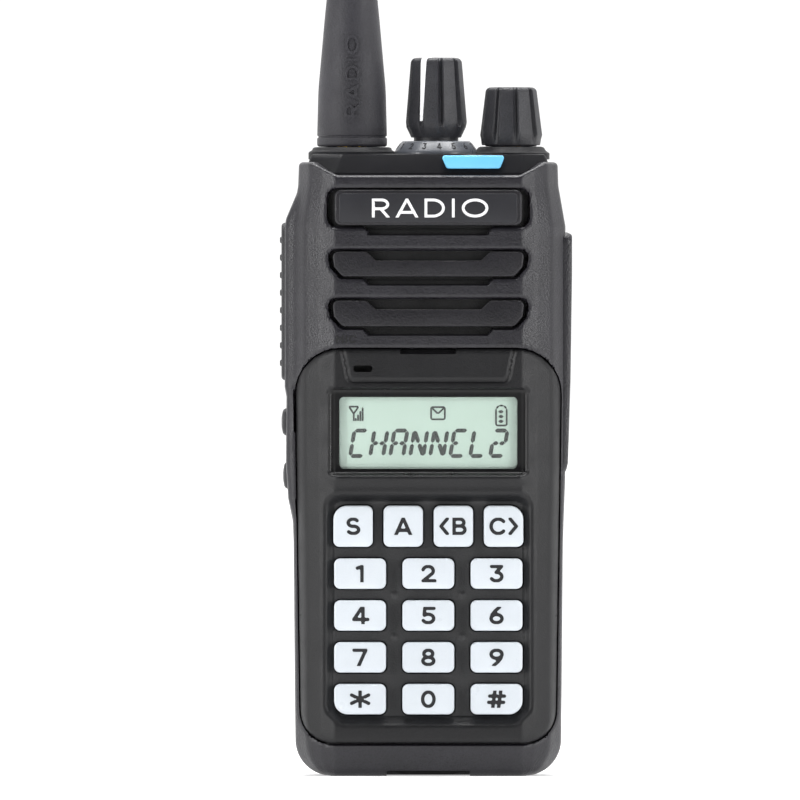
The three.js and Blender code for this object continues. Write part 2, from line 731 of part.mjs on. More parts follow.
function batteryLid() {
  let lid = frontPrism(batteryOutline(2.3), 0, 1.4, 3).subtract(block(-9.6, 9.6, -1, 3, 73.4, 79.6));
  // T-shaped hooks that run in the chassis grooves.
  for (const x of [-RAIL.x, RAIL.x])
    for (const z of RAIL.hooks)
      lid = lid
        .add(block(x - 0.7, x + 0.7, -1.6, 0.5, z, z + RAIL.length))
        .add(block(x - 1.6, x + 1.6, -2.4, -1.3, z, z + RAIL.length));
  return lid;
}
function batteryContacts() {
  const strip = block(-9.2, 9.2, 0.9, 1.9, 73.8, 79.2);
  const pads = [-7.9, -3.3, 1.3, 5.9].map((x) => block(x, x + 2, 0.15, 1.2, 74.4, 78.6));
  return pads.reduce((all, pad) => all.add(pad), strip);
}
const BATTERY_CELL = frontPrism(rounded(-22, 22, 7, 72, 1.5), 2.2, 11.7, 2);
const BATTERY_LATCH = block(-7.4, 7.4, -2.2, 7.2, 0.5, 1.8).add(block(-5, 5, 3.4, 6.4, 0.2, 0.9));

// ---------------------------------------------------------------- belt clip
function clipBracket() {
  const base = frontPrism(rounded(-9.6, 9.6, 66.5, 80.5, 1.5), BATTERY_BACK, 15.2, 2);
  const ear = (x0, x1) =>
    sidePrism(
      [
        [15.0, 68.6],
        [17.0, 69.6, 1.2],
        [18.9, 72, 1.2],
        [17.0, 74.6, 1.2],
        [15.0, 76],
      ],
      x0,
      x1,
    );
  return base
    .add(ear(-6.4, -4.8))
    .add(ear(4.8, 6.4))
    .subtract(pegAcross(1.05, CLIP.pivotY, CLIP.pivotZ, -8, 8, 12))
    .subtract(pegBack(1.5, -CLIP_SCREW.x, CLIP_SCREW.z, 13, 16, 12))
    .subtract(pegBack(1.5, CLIP_SCREW.x, CLIP_SCREW.z, 13, 16, 12));
}
function beltClip() {
  // Side profile: thumb tab, straight arm, and a tip that turns in to the battery.
  const arm = sidePrism(
    [
      [CLIP.inner, 30, 0.5],
      [14.3, 20.5, 0.6],
      [14.8, 18.2, 0.6],
      [16.0, 18.0, 0.5],
      [CLIP.outer, 28, 1],
      [CLIP.outer, 80, 2],
      [19.2, 87.2, 0.5],
      [17.8, 86.6, 0.4],
      [CLIP.inner, 79, 1],
    ],
    -CLIP.halfWidth,
    CLIP.halfWidth,
    2,
  ).intersect(
    frontPrism(
      [
        [-6.2, 17, 1.5],
        [6.2, 17, 1.5],
        [CLIP.halfWidth, 30],
        [CLIP.halfWidth, 88, 2.5],
        [-CLIP.halfWidth, 88, 2.5],
        [-CLIP.halfWidth, 30],
      ],
      10,
      22,
      3,
    ),
  );
  const ear = (x0, x1) =>
    sidePrism(
      [
        [15.8, 71, 0.5],
        [19.2, 68],
        [19.2, 76],
        [15.8, 73, 0.5],
      ],
      x0,
      x1,
    );
  return arm
    .add(ear(-8.4, -6.8))
    .add(ear(6.8, 8.4))
    .subtract(pegAcross(1.05, CLIP.pivotY, CLIP.pivotZ, -7.9, 7.9, 12))
    .subtract(block(-6.7, 6.7, 15, 19.5, 69, 75));
}
const CLIP_PIN = pegAcross(0.8, CLIP.pivotY, CLIP.pivotZ, -7.7, 7.7, 12);
function clipSpring() {
  // Torsion spring, its turns joined as one sleeve, with a leg on the bracket and a leg towards the clip.
  const turns = pegAcross(1.75, CLIP.pivotY, CLIP.pivotZ, -4.4, 4.4, 14).subtract(
    pegAcross(1.1, CLIP.pivotY, CLIP.pivotZ, -5, 5, 14),
  );
  return turns.add(block(-4.4, -3.8, 15.4, 16.2, 66.9, 72)).add(block(3.8, 4.4, 15.4, 16.2, 66.9, 72));
}
const clipScrew = (x) =>
  pegBack(1.1, x, CLIP_SCREW.z, 12.4, 15.4, 12).add(pegBack(2.2, x, CLIP_SCREW.z, 15.3, 16.1, 14));

// ---------------------------------------------------------------- assembly
add("front_case", frontCase(), MATERIALS.case);
add("front_panel", frontPanel(), MATERIALS.panel);
add("name_plate", frontPrism(rounded(-18.3, 18.3, 108.3, 115.1, 1.2), FRONT, -18.9, 3), MATERIALS.panel);
add("grille_bar_upper", frontPrism(barOutline(grilleRecesses[1]), FRONT, -18.9, 3), MATERIALS.case);
add("grille_bar_lower", frontPrism(barOutline(grilleRecesses[2]), FRONT, -18.9, 3), MATERIALS.case);
add("speaker_frame", SPEAKER_FRAME, MATERIALS.steel);
add("speaker_cone", SPEAKER_CONE, MATERIALS.cone);
add("microphone", MIC, MATERIALS.steel);
add("display_window", DISPLAY_WINDOW, MATERIALS.clear);
add("lcd_module", LCD_MODULE, MATERIALS.display);
add("keypad_mat", keypadMat(), MATERIALS.rubber);
for (const key of keys) add(key.name, keyCap(key), MATERIALS.key);
add("keypad_board", KEYPAD_BOARD, MATERIALS.board);
add("main_board", MAIN_BOARD, MATERIALS.board);
add("chassis", chassis(), MATERIALS.aluminium);
add("top_cover", topCover(), MATERIALS.cover);
add("status_lens", STATUS_LENS, MATERIALS.lamp);
add("channel_ring", CHANNEL_RING, MATERIALS.cover);
add("channel_switch", rotaryBody(CHANNEL_X, 5.5), MATERIALS.steel);
add("channel_shaft", rotaryShaft(CHANNEL_X, 138.6), MATERIALS.brass);
add("channel_knob", CHANNEL_KNOB, MATERIALS.rubber);
add("volume_switch", rotaryBody(VOLUME_X, 5.0), MATERIALS.steel);
add("volume_shaft", rotaryShaft(VOLUME_X, 133.0), MATERIALS.brass);
add("volume_knob", VOLUME_KNOB, MATERIALS.rubber);
add("antenna_socket", ANTENNA_SOCKET, MATERIALS.brass);
add("antenna_connector", ANTENNA_CONNECTOR, MATERIALS.brass);
add("antenna_coil", antennaCoil(), MATERIALS.steel);
add("antenna_sheath", ANTENNA_SHEATH, MATERIALS.rubber);
add("ptt_button", sideButton(PTT, 2, 8), MATERIALS.rubber);
for (const [name, key] of Object.entries(SIDE_KEYS)) add(name, sideButton(key, 1.5, 0), MATERIALS.rubber);
add("jack_block", JACK_BLOCK, MATERIALS.panel);
add("jack_cover", jackCover(), MATERIALS.case);
add("jack_screw", JACK_SCREW, MATERIALS.steel);
add("battery_case", batteryCase(), MATERIALS.case);
add("battery_lid", batteryLid(), MATERIALS.case);
add("battery_cell", BATTERY_CELL, MATERIALS.cell);
add("battery_contacts", batteryContacts(), MATERIALS.brass);
add("battery_latch", BATTERY_LATCH, MATERIALS.panel);
add("clip_bracket", clipBracket(), MATERIALS.case);
add("clip_pin", CLIP_PIN, MATERIALS.steel);
add("clip_spring", clipSpring(), MATERIALS.steel);
add("clip_screw_left", clipScrew(-CLIP_SCREW.x), MATERIALS.steel);
add("clip_screw_right", clipScrew(CLIP_SCREW.x), MATERIALS.steel);
add("belt_clip", beltClip(), MATERIALS.case);

export default radio;
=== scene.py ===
"""The looks of a handheld two way radio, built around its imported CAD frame.

Lengths are millimetres until a mesh is made. +X is to the right of someone looking at the front face,
-Y comes out of that face, and +Z is up.
"""

import math

import bpy
import numpy as np
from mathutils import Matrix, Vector


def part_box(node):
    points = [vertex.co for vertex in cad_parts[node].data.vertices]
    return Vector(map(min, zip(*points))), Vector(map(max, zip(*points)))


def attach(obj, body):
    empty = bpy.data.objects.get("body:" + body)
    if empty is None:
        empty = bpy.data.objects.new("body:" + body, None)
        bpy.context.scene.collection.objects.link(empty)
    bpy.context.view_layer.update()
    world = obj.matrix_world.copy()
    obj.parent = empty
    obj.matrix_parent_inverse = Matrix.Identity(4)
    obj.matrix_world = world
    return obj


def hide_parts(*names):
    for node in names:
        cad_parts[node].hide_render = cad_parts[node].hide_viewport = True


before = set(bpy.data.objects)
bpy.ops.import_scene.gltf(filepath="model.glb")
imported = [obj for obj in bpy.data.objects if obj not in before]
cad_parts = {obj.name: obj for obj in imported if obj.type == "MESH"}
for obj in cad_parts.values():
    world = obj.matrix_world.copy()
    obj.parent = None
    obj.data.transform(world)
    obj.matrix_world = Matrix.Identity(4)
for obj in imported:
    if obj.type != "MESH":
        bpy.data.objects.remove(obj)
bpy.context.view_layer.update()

MM = 0.001
RADIO = "radio"


def box(node):
    """A CAD node's lowest and highest corners, in millimetres."""
    low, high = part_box(node)
    return np.array(low) / MM, np.array(high) / MM


# ---- places taken from the frame
CASE_LOW, CASE_HIGH = box("front_case")
FRONT = CASE_LOW[1]
# The case's looks end this far behind its CAD node, at the seam with the chassis and the battery.
SEAM = 0.24
BACK = CASE_HIGH[1] + SEAM
HALF_WIDTH = CASE_HIGH[0]
# The rim stands higher at the sides than across the front.
SIDE_TOP = CASE_HIGH[2]
FRONT_TOP = SIDE_TOP - 2.6
# Half width of the flat front, from which the sides slope back.
PLATEAU = 18.3
PANEL_BOTTOM, PANEL_TOP = (corner[2] for corner in box("front_panel"))
BATTERY_HALF_WIDTH = box("battery_case")[1][0]
BATTERY_BACK = 14.0
CONTROLS_Y = float(np.mean([c[1] for c in box("channel_knob")]))
ANTENNA_X, CHANNEL_X, VOLUME_X = (
    float(np.mean([c[0] for c in box(n)])) for n in ("antenna_sheath", "channel_knob", "volume_knob")
)
SIDES = (("left", -1), ("right", 1))
DECK = box("channel_ring")[0][2]


# ---- materials
def linear(*rgb):
    """Display colour, 0 to 255, as scene-linear."""
    return tuple((c / 255 / 12.92) if c <= 10 else ((c / 255 + 0.055) / 1.055) ** 2.4 for c in rgb)


def add_node(tree, kind, values, links, **settings):
    """A shader node with its settings, its sockets' values and the outputs linked to its sockets."""
    node = tree.nodes.new("ShaderNode" + kind)
    for name, value in settings.items():
        setattr(node, name, value)
    for socket, value in values.items():
        node.inputs[socket].default_value = value
    for socket, output in links.items():
        tree.links.new(output, node.inputs[socket])
    return node


def noise(tree, coords, size_mm, detail):
    values = {"Scale": 1 / (size_mm * MM), "Detail": detail}
    return add_node(tree, "TexNoise", values, {"Vector": coords}).outputs["Fac"]


def ramp(tree, value, low, high, to_low, to_high):
    values = {"From Min": low, "From Max": high, "To Min": to_low, "To Max": to_high}
    return add_node(tree, "MapRange", values, {"Value": value}).outputs["Result"]


SPECK = (0.35, 0.35, 0.35, 1)


def surface(name, rgb, rough, grain=0.25, grain_mm=0.35, mottle=0.12, metallic=0.0, sheen=0.0, specular=0.5):
    """A moulded or cast surface: a fine speckled and raised grain, faint mottling, and uneven gloss."""
    mat = bpy.data.materials.new(name)
    mat.use_nodes = True
    tree = mat.node_tree
    coords = tree.nodes.new("ShaderNodeTexCoord").outputs["Object"]
    dark, light = ((*[min(c * share, 1) for c in linear(*rgb)], 1) for share in (1 - mottle, 1 + mottle))
    patches = ramp(tree, noise(tree, coords, 9, 5), 0.35, 0.65, 0, 1)
    mottled = add_node(tree, "Mix", {"A": dark, "B": light}, {"Factor": patches}, data_type="RGBA")
    specks = ramp(tree, noise(tree, coords, grain_mm, 2), 0.45, 0.75, 0, min(1.0, grain * 1.4))
    speckled = add_node(tree, "Mix", {"B": SPECK}, {"A": mottled.outputs["Result"], "Factor": specks},
                        data_type="RGBA", blend_type="MULTIPLY")
    raised = add_node(tree, "Bump", {"Strength": grain, "Distance": grain_mm * MM * 0.5},
                      {"Height": noise(tree, coords, grain_mm, 2)})
    shader = tree.nodes["Principled BSDF"]
    for socket, output in (
        ("Base Color", speckled.outputs["Result"]),
        ("Roughness", ramp(tree, noise(tree, coords, 4, 4), 0.3, 0.7, rough - 0.05, rough + 0.06)),
        ("Normal", raised.outputs["Normal"]),
    ):
        tree.links.new(output, shader.inputs[socket])
    for socket, value in (("Metallic", metallic), ("Sheen Weight", sheen), ("Specular IOR Level", specular)):
        shader.inputs[socket].default_value = value
    return mat


def glow(mat, rgb, strength):
    shader = mat.node_tree.nodes["Principled BSDF"]
    shader.inputs["Emission Color"].default_value = (*linear(*rgb), 1)
    shader.inputs["Emission Strength"].default_value = strength
    return mat


CASE = surface("case_plastic", (35, 34, 39), 0.36, grain=0.55, grain_mm=0.36, specular=0.42)
PANEL = surface("panel_plastic", (22, 22, 24), 0.44, grain=0.35, grain_mm=0.3, specular=0.34)
# A lighter copy of the panel plastic for the sunk key field: painted light against its shade.
WELL_PAINTED_LIGHT = surface("keypad_well_painted_light", (46, 46, 47), 0.5, grain=0.3, grain_mm=0.3, specular=0.36)
BAR = surface("grille_bar_plastic", (31, 30, 34), 0.36, grain=0.55, grain_mm=0.36, specular=0.37)
PLATE = surface("name_plate_plastic", (38, 38, 42), 0.38, grain=0.08, grain_mm=0.2, specular=0.4)
COVER = surface("cover_plastic", (18, 18, 21), 0.45, grain=0.12, grain_mm=0.25, specular=0.13)
BATTERY = surface("battery_plastic", (42, 42, 46), 0.5, grain=0.5, grain_mm=0.4)
CLIP = surface("clip_plastic", (38, 38, 42), 0.4, grain=0.25, grain_mm=0.3)
RUBBER = surface("rubber", (32, 32, 35), 0.6, grain=0.3, grain_mm=0.25, sheen=0.1)
ANTENNA = surface("antenna_rubber", (37, 36, 42), 0.6, grain=0.45, grain_mm=0.35, sheen=0.05)
KNOB = surface("knob_plastic", (42, 42, 46), 0.46, grain=0.5, grain_mm=0.3, specular=0.4)
DIAL = surface("dial_plastic", (84, 87, 93), 0.28, grain=0.1, grain_mm=0.2)
# Near black for dark inner parts, and painted shade for the notch under the base and the MIC letters.
DARK_PARTS_AND_PAINTED_SHADE = surface("dark_parts_and_painted_shade", (16, 16, 17), 0.8, grain=0.2)
KEY = surface("key_plastic", (203, 209, 215), 0.32, grain=0.05, mottle=0.02, grain_mm=0.2)
LEGEND = surface("legend_ink", (42, 42, 44), 0.6, grain=0.05, mottle=0.05, grain_mm=0.2, specular=0.2)
WHITE_INK = surface("white_ink", (238, 238, 240), 0.4, grain=0.05, mottle=0.02, grain_mm=0.2)
SCREEN = surface("display_film", (179, 200, 188), 0.35, grain=0.03, mottle=0.02, grain_mm=0.2)
LCD_INK = surface("display_segment", (14, 19, 17), 0.6, grain=0.02, mottle=0.04, grain_mm=0.2, specular=0.1)
LAMP = surface("lamp_lens", (108, 188, 228), 0.15, grain=0.02, mottle=0.04, grain_mm=0.3)
STEEL = surface("nickel_steel", (186, 188, 192), 0.3, grain=0.08, grain_mm=0.15, metallic=1.0)
BRASS = surface("gold_brass", (214, 174, 92), 0.28, grain=0.08, grain_mm=0.15, metallic=1.0)
CHASSIS = surface("coated_casting", (40, 40, 44), 0.48, grain=0.5, grain_mm=0.5)
BOARD = surface("solder_mask", (24, 82, 52), 0.35, grain=0.1, grain_mm=0.4)
LABEL = surface("label_film", (92, 94, 98), 0.4, grain=0.05, mottle=0.03, grain_mm=0.2)
CELL = surface("cell_wrap", (60, 92, 130), 0.35, grain=0.05)
# Near-black gloss for the bezel slope round the window: painted shade.
BEZEL_PAINTED_SHADE = surface("bezel_painted_shade", (14, 14, 15), 0.3, grain=0.03, grain_mm=0.2, specular=0.28)
BLACK_STEEL = surface("black_steel", (40, 40, 42), 0.35, grain=0.1, grain_mm=0.15, metallic=0.6)
# Speaker cloth, and also painted shade on the floors of the case's recesses and slits.
CLOTH_AND_PAINTED_SHADE = surface("speaker_cloth_and_painted_shade", (12, 12, 13), 0.85, grain=0.6, grain_mm=0.3)
glow(LAMP, (100, 190, 240), 0.07)


GLASS = surface("window_glass", (240, 248, 244), 0.04, grain=0.0, mottle=0.01)
GLASS.node_tree.nodes["Principled BSDF"].inputs["Alpha"].default_value = 0.05

CAD_LOOKS = {
    "speaker_frame": STEEL, "speaker_cone": CLOTH_AND_PAINTED_SHADE, "microphone": DARK_PARTS_AND_PAINTED_SHADE, "lcd_module": SCREEN,
    "keypad_mat": RUBBER, "keypad_board": BOARD, "main_board": BOARD, "chassis": CHASSIS,
    "channel_switch": STEEL, "channel_shaft": BRASS, "volume_switch": STEEL, "volume_shaft": BRASS,
    "antenna_socket": BRASS, "antenna_connector": BRASS, "antenna_coil": STEEL, "jack_block": DARK_PARTS_AND_PAINTED_SHADE,
    "jack_screw": BLACK_STEEL, "battery_lid": BATTERY, "battery_cell": CELL, "battery_contacts": BRASS,
    "battery_latch": PANEL, "clip_bracket": CLIP, "clip_pin": STEEL, "clip_spring": STEEL,
    "clip_screw_left": STEEL, "clip_screw_right": STEEL, "belt_clip": CLIP,
}
# Bevel widths of the carried-over nodes that are seen up close.
SOFT_EDGES = {
    "belt_clip": 0.45, "clip_bracket": 0.25, "battery_latch": 0.2, "jack_screw": 0.12, "chassis": 0.25,
}


# ---- meshes
def piece(name, points, faces, mat, body=RADIO, replaces=(), slot=None, crease=50):
    """A smooth-shaded mesh from points in millimetres, riding on a body of the frame."""
    mesh = bpy.data.meshes.new(name)
    mesh.from_pydata((np.asarray(points, dtype=float) * MM).tolist(), [], [list(map(int, f)) for f in faces])
    mesh.validate()
    mesh.polygons.foreach_set("use_smooth", [True] * len(mesh.polygons))
    mesh.set_sharp_from_angle(angle=math.radians(crease))
    mesh.materials.append(mat)
    obj = bpy.data.objects.new(name, mesh)
    bpy.context.scene.collection.objects.link(obj)
    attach(obj, body)
    if replaces:
        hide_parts(*replaces)
    return obj


# Faces along each rounded corner of an outline, and each rounded edge of a slab.
CORNER_STEPS = 8
EDGE_STEPS = 4


def pull_in(corners, inset):
    """Corners (u, v, radius) of a counter-clockwise outline, moved in by an inset."""
    moved = []
    for i, (u, v, r) in enumerate(corners):
        a, b = np.array(corners[i - 1][:2]), np.array(corners[(i + 1) % len(corners)][:2])
        here = np.array([u, v])
        into, out = (here - a) / np.linalg.norm(here - a), (b - here) / np.linalg.norm(b - here)
        n1, n2 = np.array([-into[1], into[0]]), np.array([-out[1], out[0]])
        p = here + (n1 + n2) / (1 + n1 @ n2) * inset
        turn = into[0] * out[1] - into[1] * out[0]
        moved.append((p[0], p[1], max(r - inset, 0.05) if turn > 0 else r + inset))
    return moved


def outline(corners):
    """A closed outline with each corner rounded by an arc of the same number of steps."""
    points = []
    for i, (u, v, r) in enumerate(corners):
        here = np.array([u, v])
        a, b = np.array(corners[i - 1][:2]) - here, np.array(corners[(i + 1) % len(corners)][:2]) - here
        a, b = a / np.linalg.norm(a), b / np.linalg.norm(b)
        half = math.acos(max(-1, min(1, a @ b))) / 2
        reach = r / math.tan(half) if r else 0
        centre = here + (a + b) / np.linalg.norm(a + b) * (r / math.sin(half))
        start, end = here + a * reach - centre, here + b * reach - centre
        t0 = math.atan2(start[1], start[0])
        sweep = (math.atan2(end[1], end[0]) - t0 + math.pi) % (2 * math.pi) - math.pi
        for k in range(CORNER_STEPS + 1):
            t = t0 + sweep * k / CORNER_STEPS
            points.append(centre + r * np.array([math.cos(t), math.sin(t)]))
    return np.array(points)


def rings_to_mesh(rings):
    """Points and faces of a tube of rings with a face over each end."""
    count, n = len(rings), len(rings[0])
    faces = []
    for k in range(count - 1):
        for i in range(n):
            j = (i + 1) % n
            faces.append((k * n + i, k * n + j, (k + 1) * n + j, (k + 1) * n + i))
    faces.append(tuple(range(n - 1, -1, -1)))
    faces.append(tuple(range((count - 1) * n, count * n)))
    return np.concatenate(rings), faces


AXES = {
    "front": lambda u, v, w: (u, w, v),
    "plan": lambda u, v, w: (u, v, w),
    "side": lambda u, v, w: (w, u, v),
}


def loft(name, rings, mat, view="plan", **rest):
    """A closed skin through rings, each its points and its level along the view."""
    points, faces = rings_to_mesh([np.column_stack([ring, np.full(len(ring), w)]) for ring, w in rings])
    if view == "front":
        faces = [f[::-1] for f in faces]
    return piece(name, np.column_stack(AXES[view](*points.T)), faces, mat, **rest)


def slab(name, corners, low, high, mat, low_edge=0.25, high_edge=0.1, crown=(), view="front", **rest):
    """A plate or prism with rounded edges, then crowned rings. view says which way its outline is seen."""
    turns = [math.pi / 2 * k / EDGE_STEPS for k in range(EDGE_STEPS + 1)]
    levels = [(low_edge * (1 - math.sin(t)), low + low_edge * (1 - math.cos(t))) for t in turns]
    levels += [(high_edge * (1 - math.cos(t)), high - high_edge * (1 - math.sin(t))) for t in turns]
    for inset, rise in crown:
        levels.insert(0, (low_edge + inset, low - rise))
    corners = with_radii(corners)
    return loft(name, [(outline(pull_in(corners, inset)), w) for inset, w in levels], mat, view, **rest)


def turned(name, profile, x, y, mat, sides=96, flute=None, **rest):
    """A body of revolution about a vertical axis. flute(angle, z, r) gives the radius around it."""
    angle = np.arange(sides) * 2 * math.pi / sides
    rings = []
    for r, z in profile:
        radius = np.full(sides, max(r, 0.01)) if flute is None else flute(angle, z, r)
        rings.append((np.column_stack([x + radius * np.cos(angle), y + radius * np.sin(angle)]), z))
    return loft(name, rings, mat, **rest)


def above(base, *steps):
    """Profile points from radii and heights over a base."""
    return [(r, base + height) for r, height in steps]


def around(x, angle, radius, height):
    """Places about the vertical axis at x, from the front towards the right."""
    return np.column_stack([x + radius * np.sin(angle), CONTROLS_Y - radius * np.cos(angle), height])


def with_radii(corners):
    """Corners (u, v) or (u, v, radius), the former with a small radius."""
    return [(c[0], c[1], c[2] if len(c) > 2 else 0.05) for c in corners]


def mirrored(*right):
    """A symmetric outline from the corners of its right half, from the bottom to the top."""
    left = [(-u, *rest) for u, *rest in right]
    return [left[0], *right, *left[:0:-1]]


def rounded(u0, u1, v0, v1, r):
    """A rectangle's corners, all of one radius."""
    return [(u0, v0, r), (u1, v0, r), (u1, v1, r), (u0, v1, r)]


# ---- distance fields and sheets
def rect(u0, u1, v0, v1, *radii):
    """Signed distance to a rectangle. radii go round from its bottom left corner, or are one for all."""
    low_left, low_right, high_right, high_left = radii * (4 // len(radii))

    def distance(u, v):
        du, dv = u - (u0 + u1) / 2, v - (v0 + v1) / 2
        r = np.where(dv < 0, np.where(du < 0, low_left, low_right), np.where(du < 0, high_left, high_right))
        qu, qv = np.abs(du) - (u1 - u0) / 2 + r, np.abs(dv) - (v1 - v0) / 2 + r
        return np.minimum(np.maximum(qu, qv), 0) + np.hypot(np.maximum(qu, 0), np.maximum(qv, 0)) - r

    return distance


def sd_outline(x, z, points):
    """Signed distance to a closed outline, negative inside."""
    best = np.full(x.shape, 1e9)
    inside = np.zeros(x.shape, dtype=bool)
    for (ax, az), (bx, bz) in zip(points, np.roll(points, -1, axis=0)):
        ex, ez = bx - ax, bz - az
        length = ex * ex + ez * ez
        if length < 1e-12:
            continue
        px, pz = x - ax, z - az
        t = np.clip((px * ex + pz * ez) / length, 0, 1)
        best = np.minimum(best, np.hypot(px - ex * t, pz - ez * t))
        crosses = (az > z) != (bz > z)
        if abs(ez) > 1e-12:
            inside ^= crosses & (px < ex * pz / ez)
    return np.where(inside, -best, best)


def shape(corners):
    points = outline(with_radii(corners))
    return lambda x, z: sd_outline(x, z, points)


def lines(*stops):
    """Grid lines through the stops (place, largest step up to the next stop)."""
    places = [np.array([stops[0][0]])]
    for (a, step), (b, _) in zip(stops, stops[1:]):
        places.append(np.linspace(a, b, max(1, math.ceil((b - a) / step - 1e-6)) + 1)[1:])
    return np.concatenate(places)


def sheet(across, up):
    """Grid points on two sets of lines, and which of them may still be moved."""
    u, v = np.meshgrid(across, up)
    return u.copy(), v.copy(), np.ones(u.shape, dtype=bool)


def snap(x, z, field, reach, movable):
    """Moves grid points that lie within reach of an edge onto it, so the edge stays a clean line."""
    d = field(x, z)
    e = 0.01
    gx = (field(x + e, z) - field(x - e, z)) / (2 * e)
    gz = (field(x, z + e) - field(x, z - e)) / (2 * e)
    near = (np.abs(d) < reach) & movable
    x[near] -= (d * gx)[near]
    z[near] -= (d * gz)[near]
    movable &= ~near
    return near


def grid_faces(keep_point, rows, cols):
    """Faces of a grid whose four corners are kept, and triangles where just one is missing."""
    index = np.arange(rows * cols).reshape(rows, cols)
    a, b, c, d = index[:-1, :-1], index[:-1, 1:], index[1:, 1:], index[1:, :-1]
    corners = np.stack([a, b, c, d], axis=-1).reshape(-1, 4)
    kept = keep_point.reshape(-1)[corners]
    count = kept.sum(axis=1)
    faces = [tuple(f) for f in corners[count == 4]]
    for f, k in zip(corners[count == 3], kept[count == 3]):
        faces.append(tuple(f[k]))
    return faces


def shell(name, outer, inner, faces, mat, deep=(), **rest):
    """A closed sheet: an outer and an inner skin of the same faces, joined along every open edge.

    Each entry of deep is a mask of outer points and the material of the faces that lie in it."""
    n = len(outer)
    edges = {edge: None for f in faces for edge in zip(f, f[1:] + f[:1])}
    walls = [(b, a, a + n, b + n) for a, b in edges if (b, a) not in edges]
    back = [tuple(i + n for i in f[::-1]) for f in faces]
    points = np.concatenate([outer, inner])
    everything = list(faces) + back + walls
    used = np.zeros(len(points), dtype=bool)
    for f in everything:
        used[list(f)] = True
    renumber = np.cumsum(used) - 1
    everything = [tuple(int(renumber[i]) for i in f) for f in everything]
    obj = piece(name, points[used], everything, mat, **rest)
    marks = [0] * len(everything)
    for number, (mask, other) in enumerate(deep, 1):
        obj.data.materials.append(other)
        inside = mask.reshape(-1).tolist()
        for i, f in enumerate(faces):
            if all(inside[k] for k in f):
                marks[i] = number
    obj.data.polygons.foreach_set("material_index", marks)
    return obj


# ---- the case's outer form
CHIN = 7.0
CORNER = 7.0


def half_width(z):
    """Half width of the front silhouette at each height."""
    side = np.interp(z, [0, 46, 60, 108, 116, 122], [26.1, 26.5, HALF_WIDTH, HALF_WIDTH, 25.6, 25.4])
    low = np.clip(CORNER - z, 0, CORNER)
    return side - (CORNER - np.sqrt(np.maximum(CORNER**2 - low**2, 0)))


def front_at(z):
    """Depth of the flat middle: the chin leans back below it, and its lowest edge is rounded."""
    t = CHIN - z
    lean = 0.343 * 0.5 * (t + np.sqrt(t * t + 4.0)) - 0.343 * 0.07
    edge = np.clip(1.5 - z, 0, 1.5)
    return FRONT + np.maximum(lean, 0) * (z < 30) + 1.5 - np.sqrt(1.5**2 - edge**2)


def section_path():
    """Right half of the plan section, from the middle of the front to the rear edge."""
    corners = [(0, FRONT, 0), (PLATEAU, FRONT, 1.0), (21.4, FRONT + 1.4, 3), (24.4, FRONT + 3.4, 3),
               (HALF_WIDTH, FRONT + 7.8, 3), (HALF_WIDTH, BACK, 0)]
    path = [np.array([0.0, FRONT])]
    for (pu, pv, _), (u, v, r), (nu, nv, _) in zip(corners, corners[1:], corners[2:]):
        bend = outline([(pu, pv, 0.05), (u, v, r), (nu, nv, 0.05)])
        path.extend(bend[CORNER_STEPS + 1 : 2 * (CORNER_STEPS + 1)])
    path.append(np.array([HALF_WIDTH, BACK]))
    return np.array(path)


SECTION = section_path()
SECTION_ARC = np.concatenate([[0], np.cumsum(np.hypot(*np.diff(SECTION, axis=0).T))])


def case_y(x, z):
    """Depth of the case's front surface at (x, z)."""
    a = np.abs(x)
    stretch = (HALF_WIDTH - PLATEAU) / np.maximum(half_width(z) - PLATEAU, 0.3)
    a = np.where(a > PLATEAU, PLATEAU + (a - PLATEAU) * stretch, a)
    y = np.interp(a, SECTION[:-1, 0], SECTION[:-1, 1])
    return BACK + (y - BACK) * (front_at(z) - BACK) / (FRONT - BACK)


def panel_outline(grow=0.0):
    return mirrored((25.0 + grow, PANEL_BOTTOM - grow, 6.5 + grow), (25.8 + grow, 60),
                    (26.1 + grow, PANEL_TOP + grow, 8.8 + grow))


PLATE_RECESS = mirrored((20.0, 107.6, 2.2), (20.0, 115.6, 2.0))


def bar_recess(z0, z1):
    """A wide recess whose ends lean in towards the bottom."""
    return mirrored((17.4, z0, 1.6), (19.4, z0 + 2.4, 1.2), (20.0, z1, 1.6))


def slit(z0, z1):
    return mirrored((11.6, z0), (12.9, z1))


BAR_RECESSES = [bar_recess(97.6, 103.6), bar_recess(87.8, 94.0)]
SLITS = [slit(106.4, 108.2), slit(96.4, 98.2), slit(86.5, 88.2)]


# ---- front case
PTT_WINDOW = rounded(-10.8, -2.4, 77.2, 109.4, 2)
SIDE_KEY_WINDOWS = [rounded(-10.9, -4.1, 66.5, 72.7, 2.0), rounded(-10.9, -4.1, 56.0, 62.2, 2.0)]
JACK_SEAT = rounded(-12.8, -1.7, 59.1, 107.2, 2)
# Where the pockets of the left buttons and the seat of the right cover end, across the case.
LEFT_POCKET, RIGHT_SEAT = -23.4, 25.9
WALL = 1.7
MIDDLE_Z = 62.0


def swell(z):
    """How far the left side stands out around the push-to-talk bar and the two side keys."""
    return np.interp(z, [50, 54.5, 62, 74.5, 76.5, 109.6, 114.6], [0, 0.75, 1.0, 0.9, 1.25, 1.25, 0])


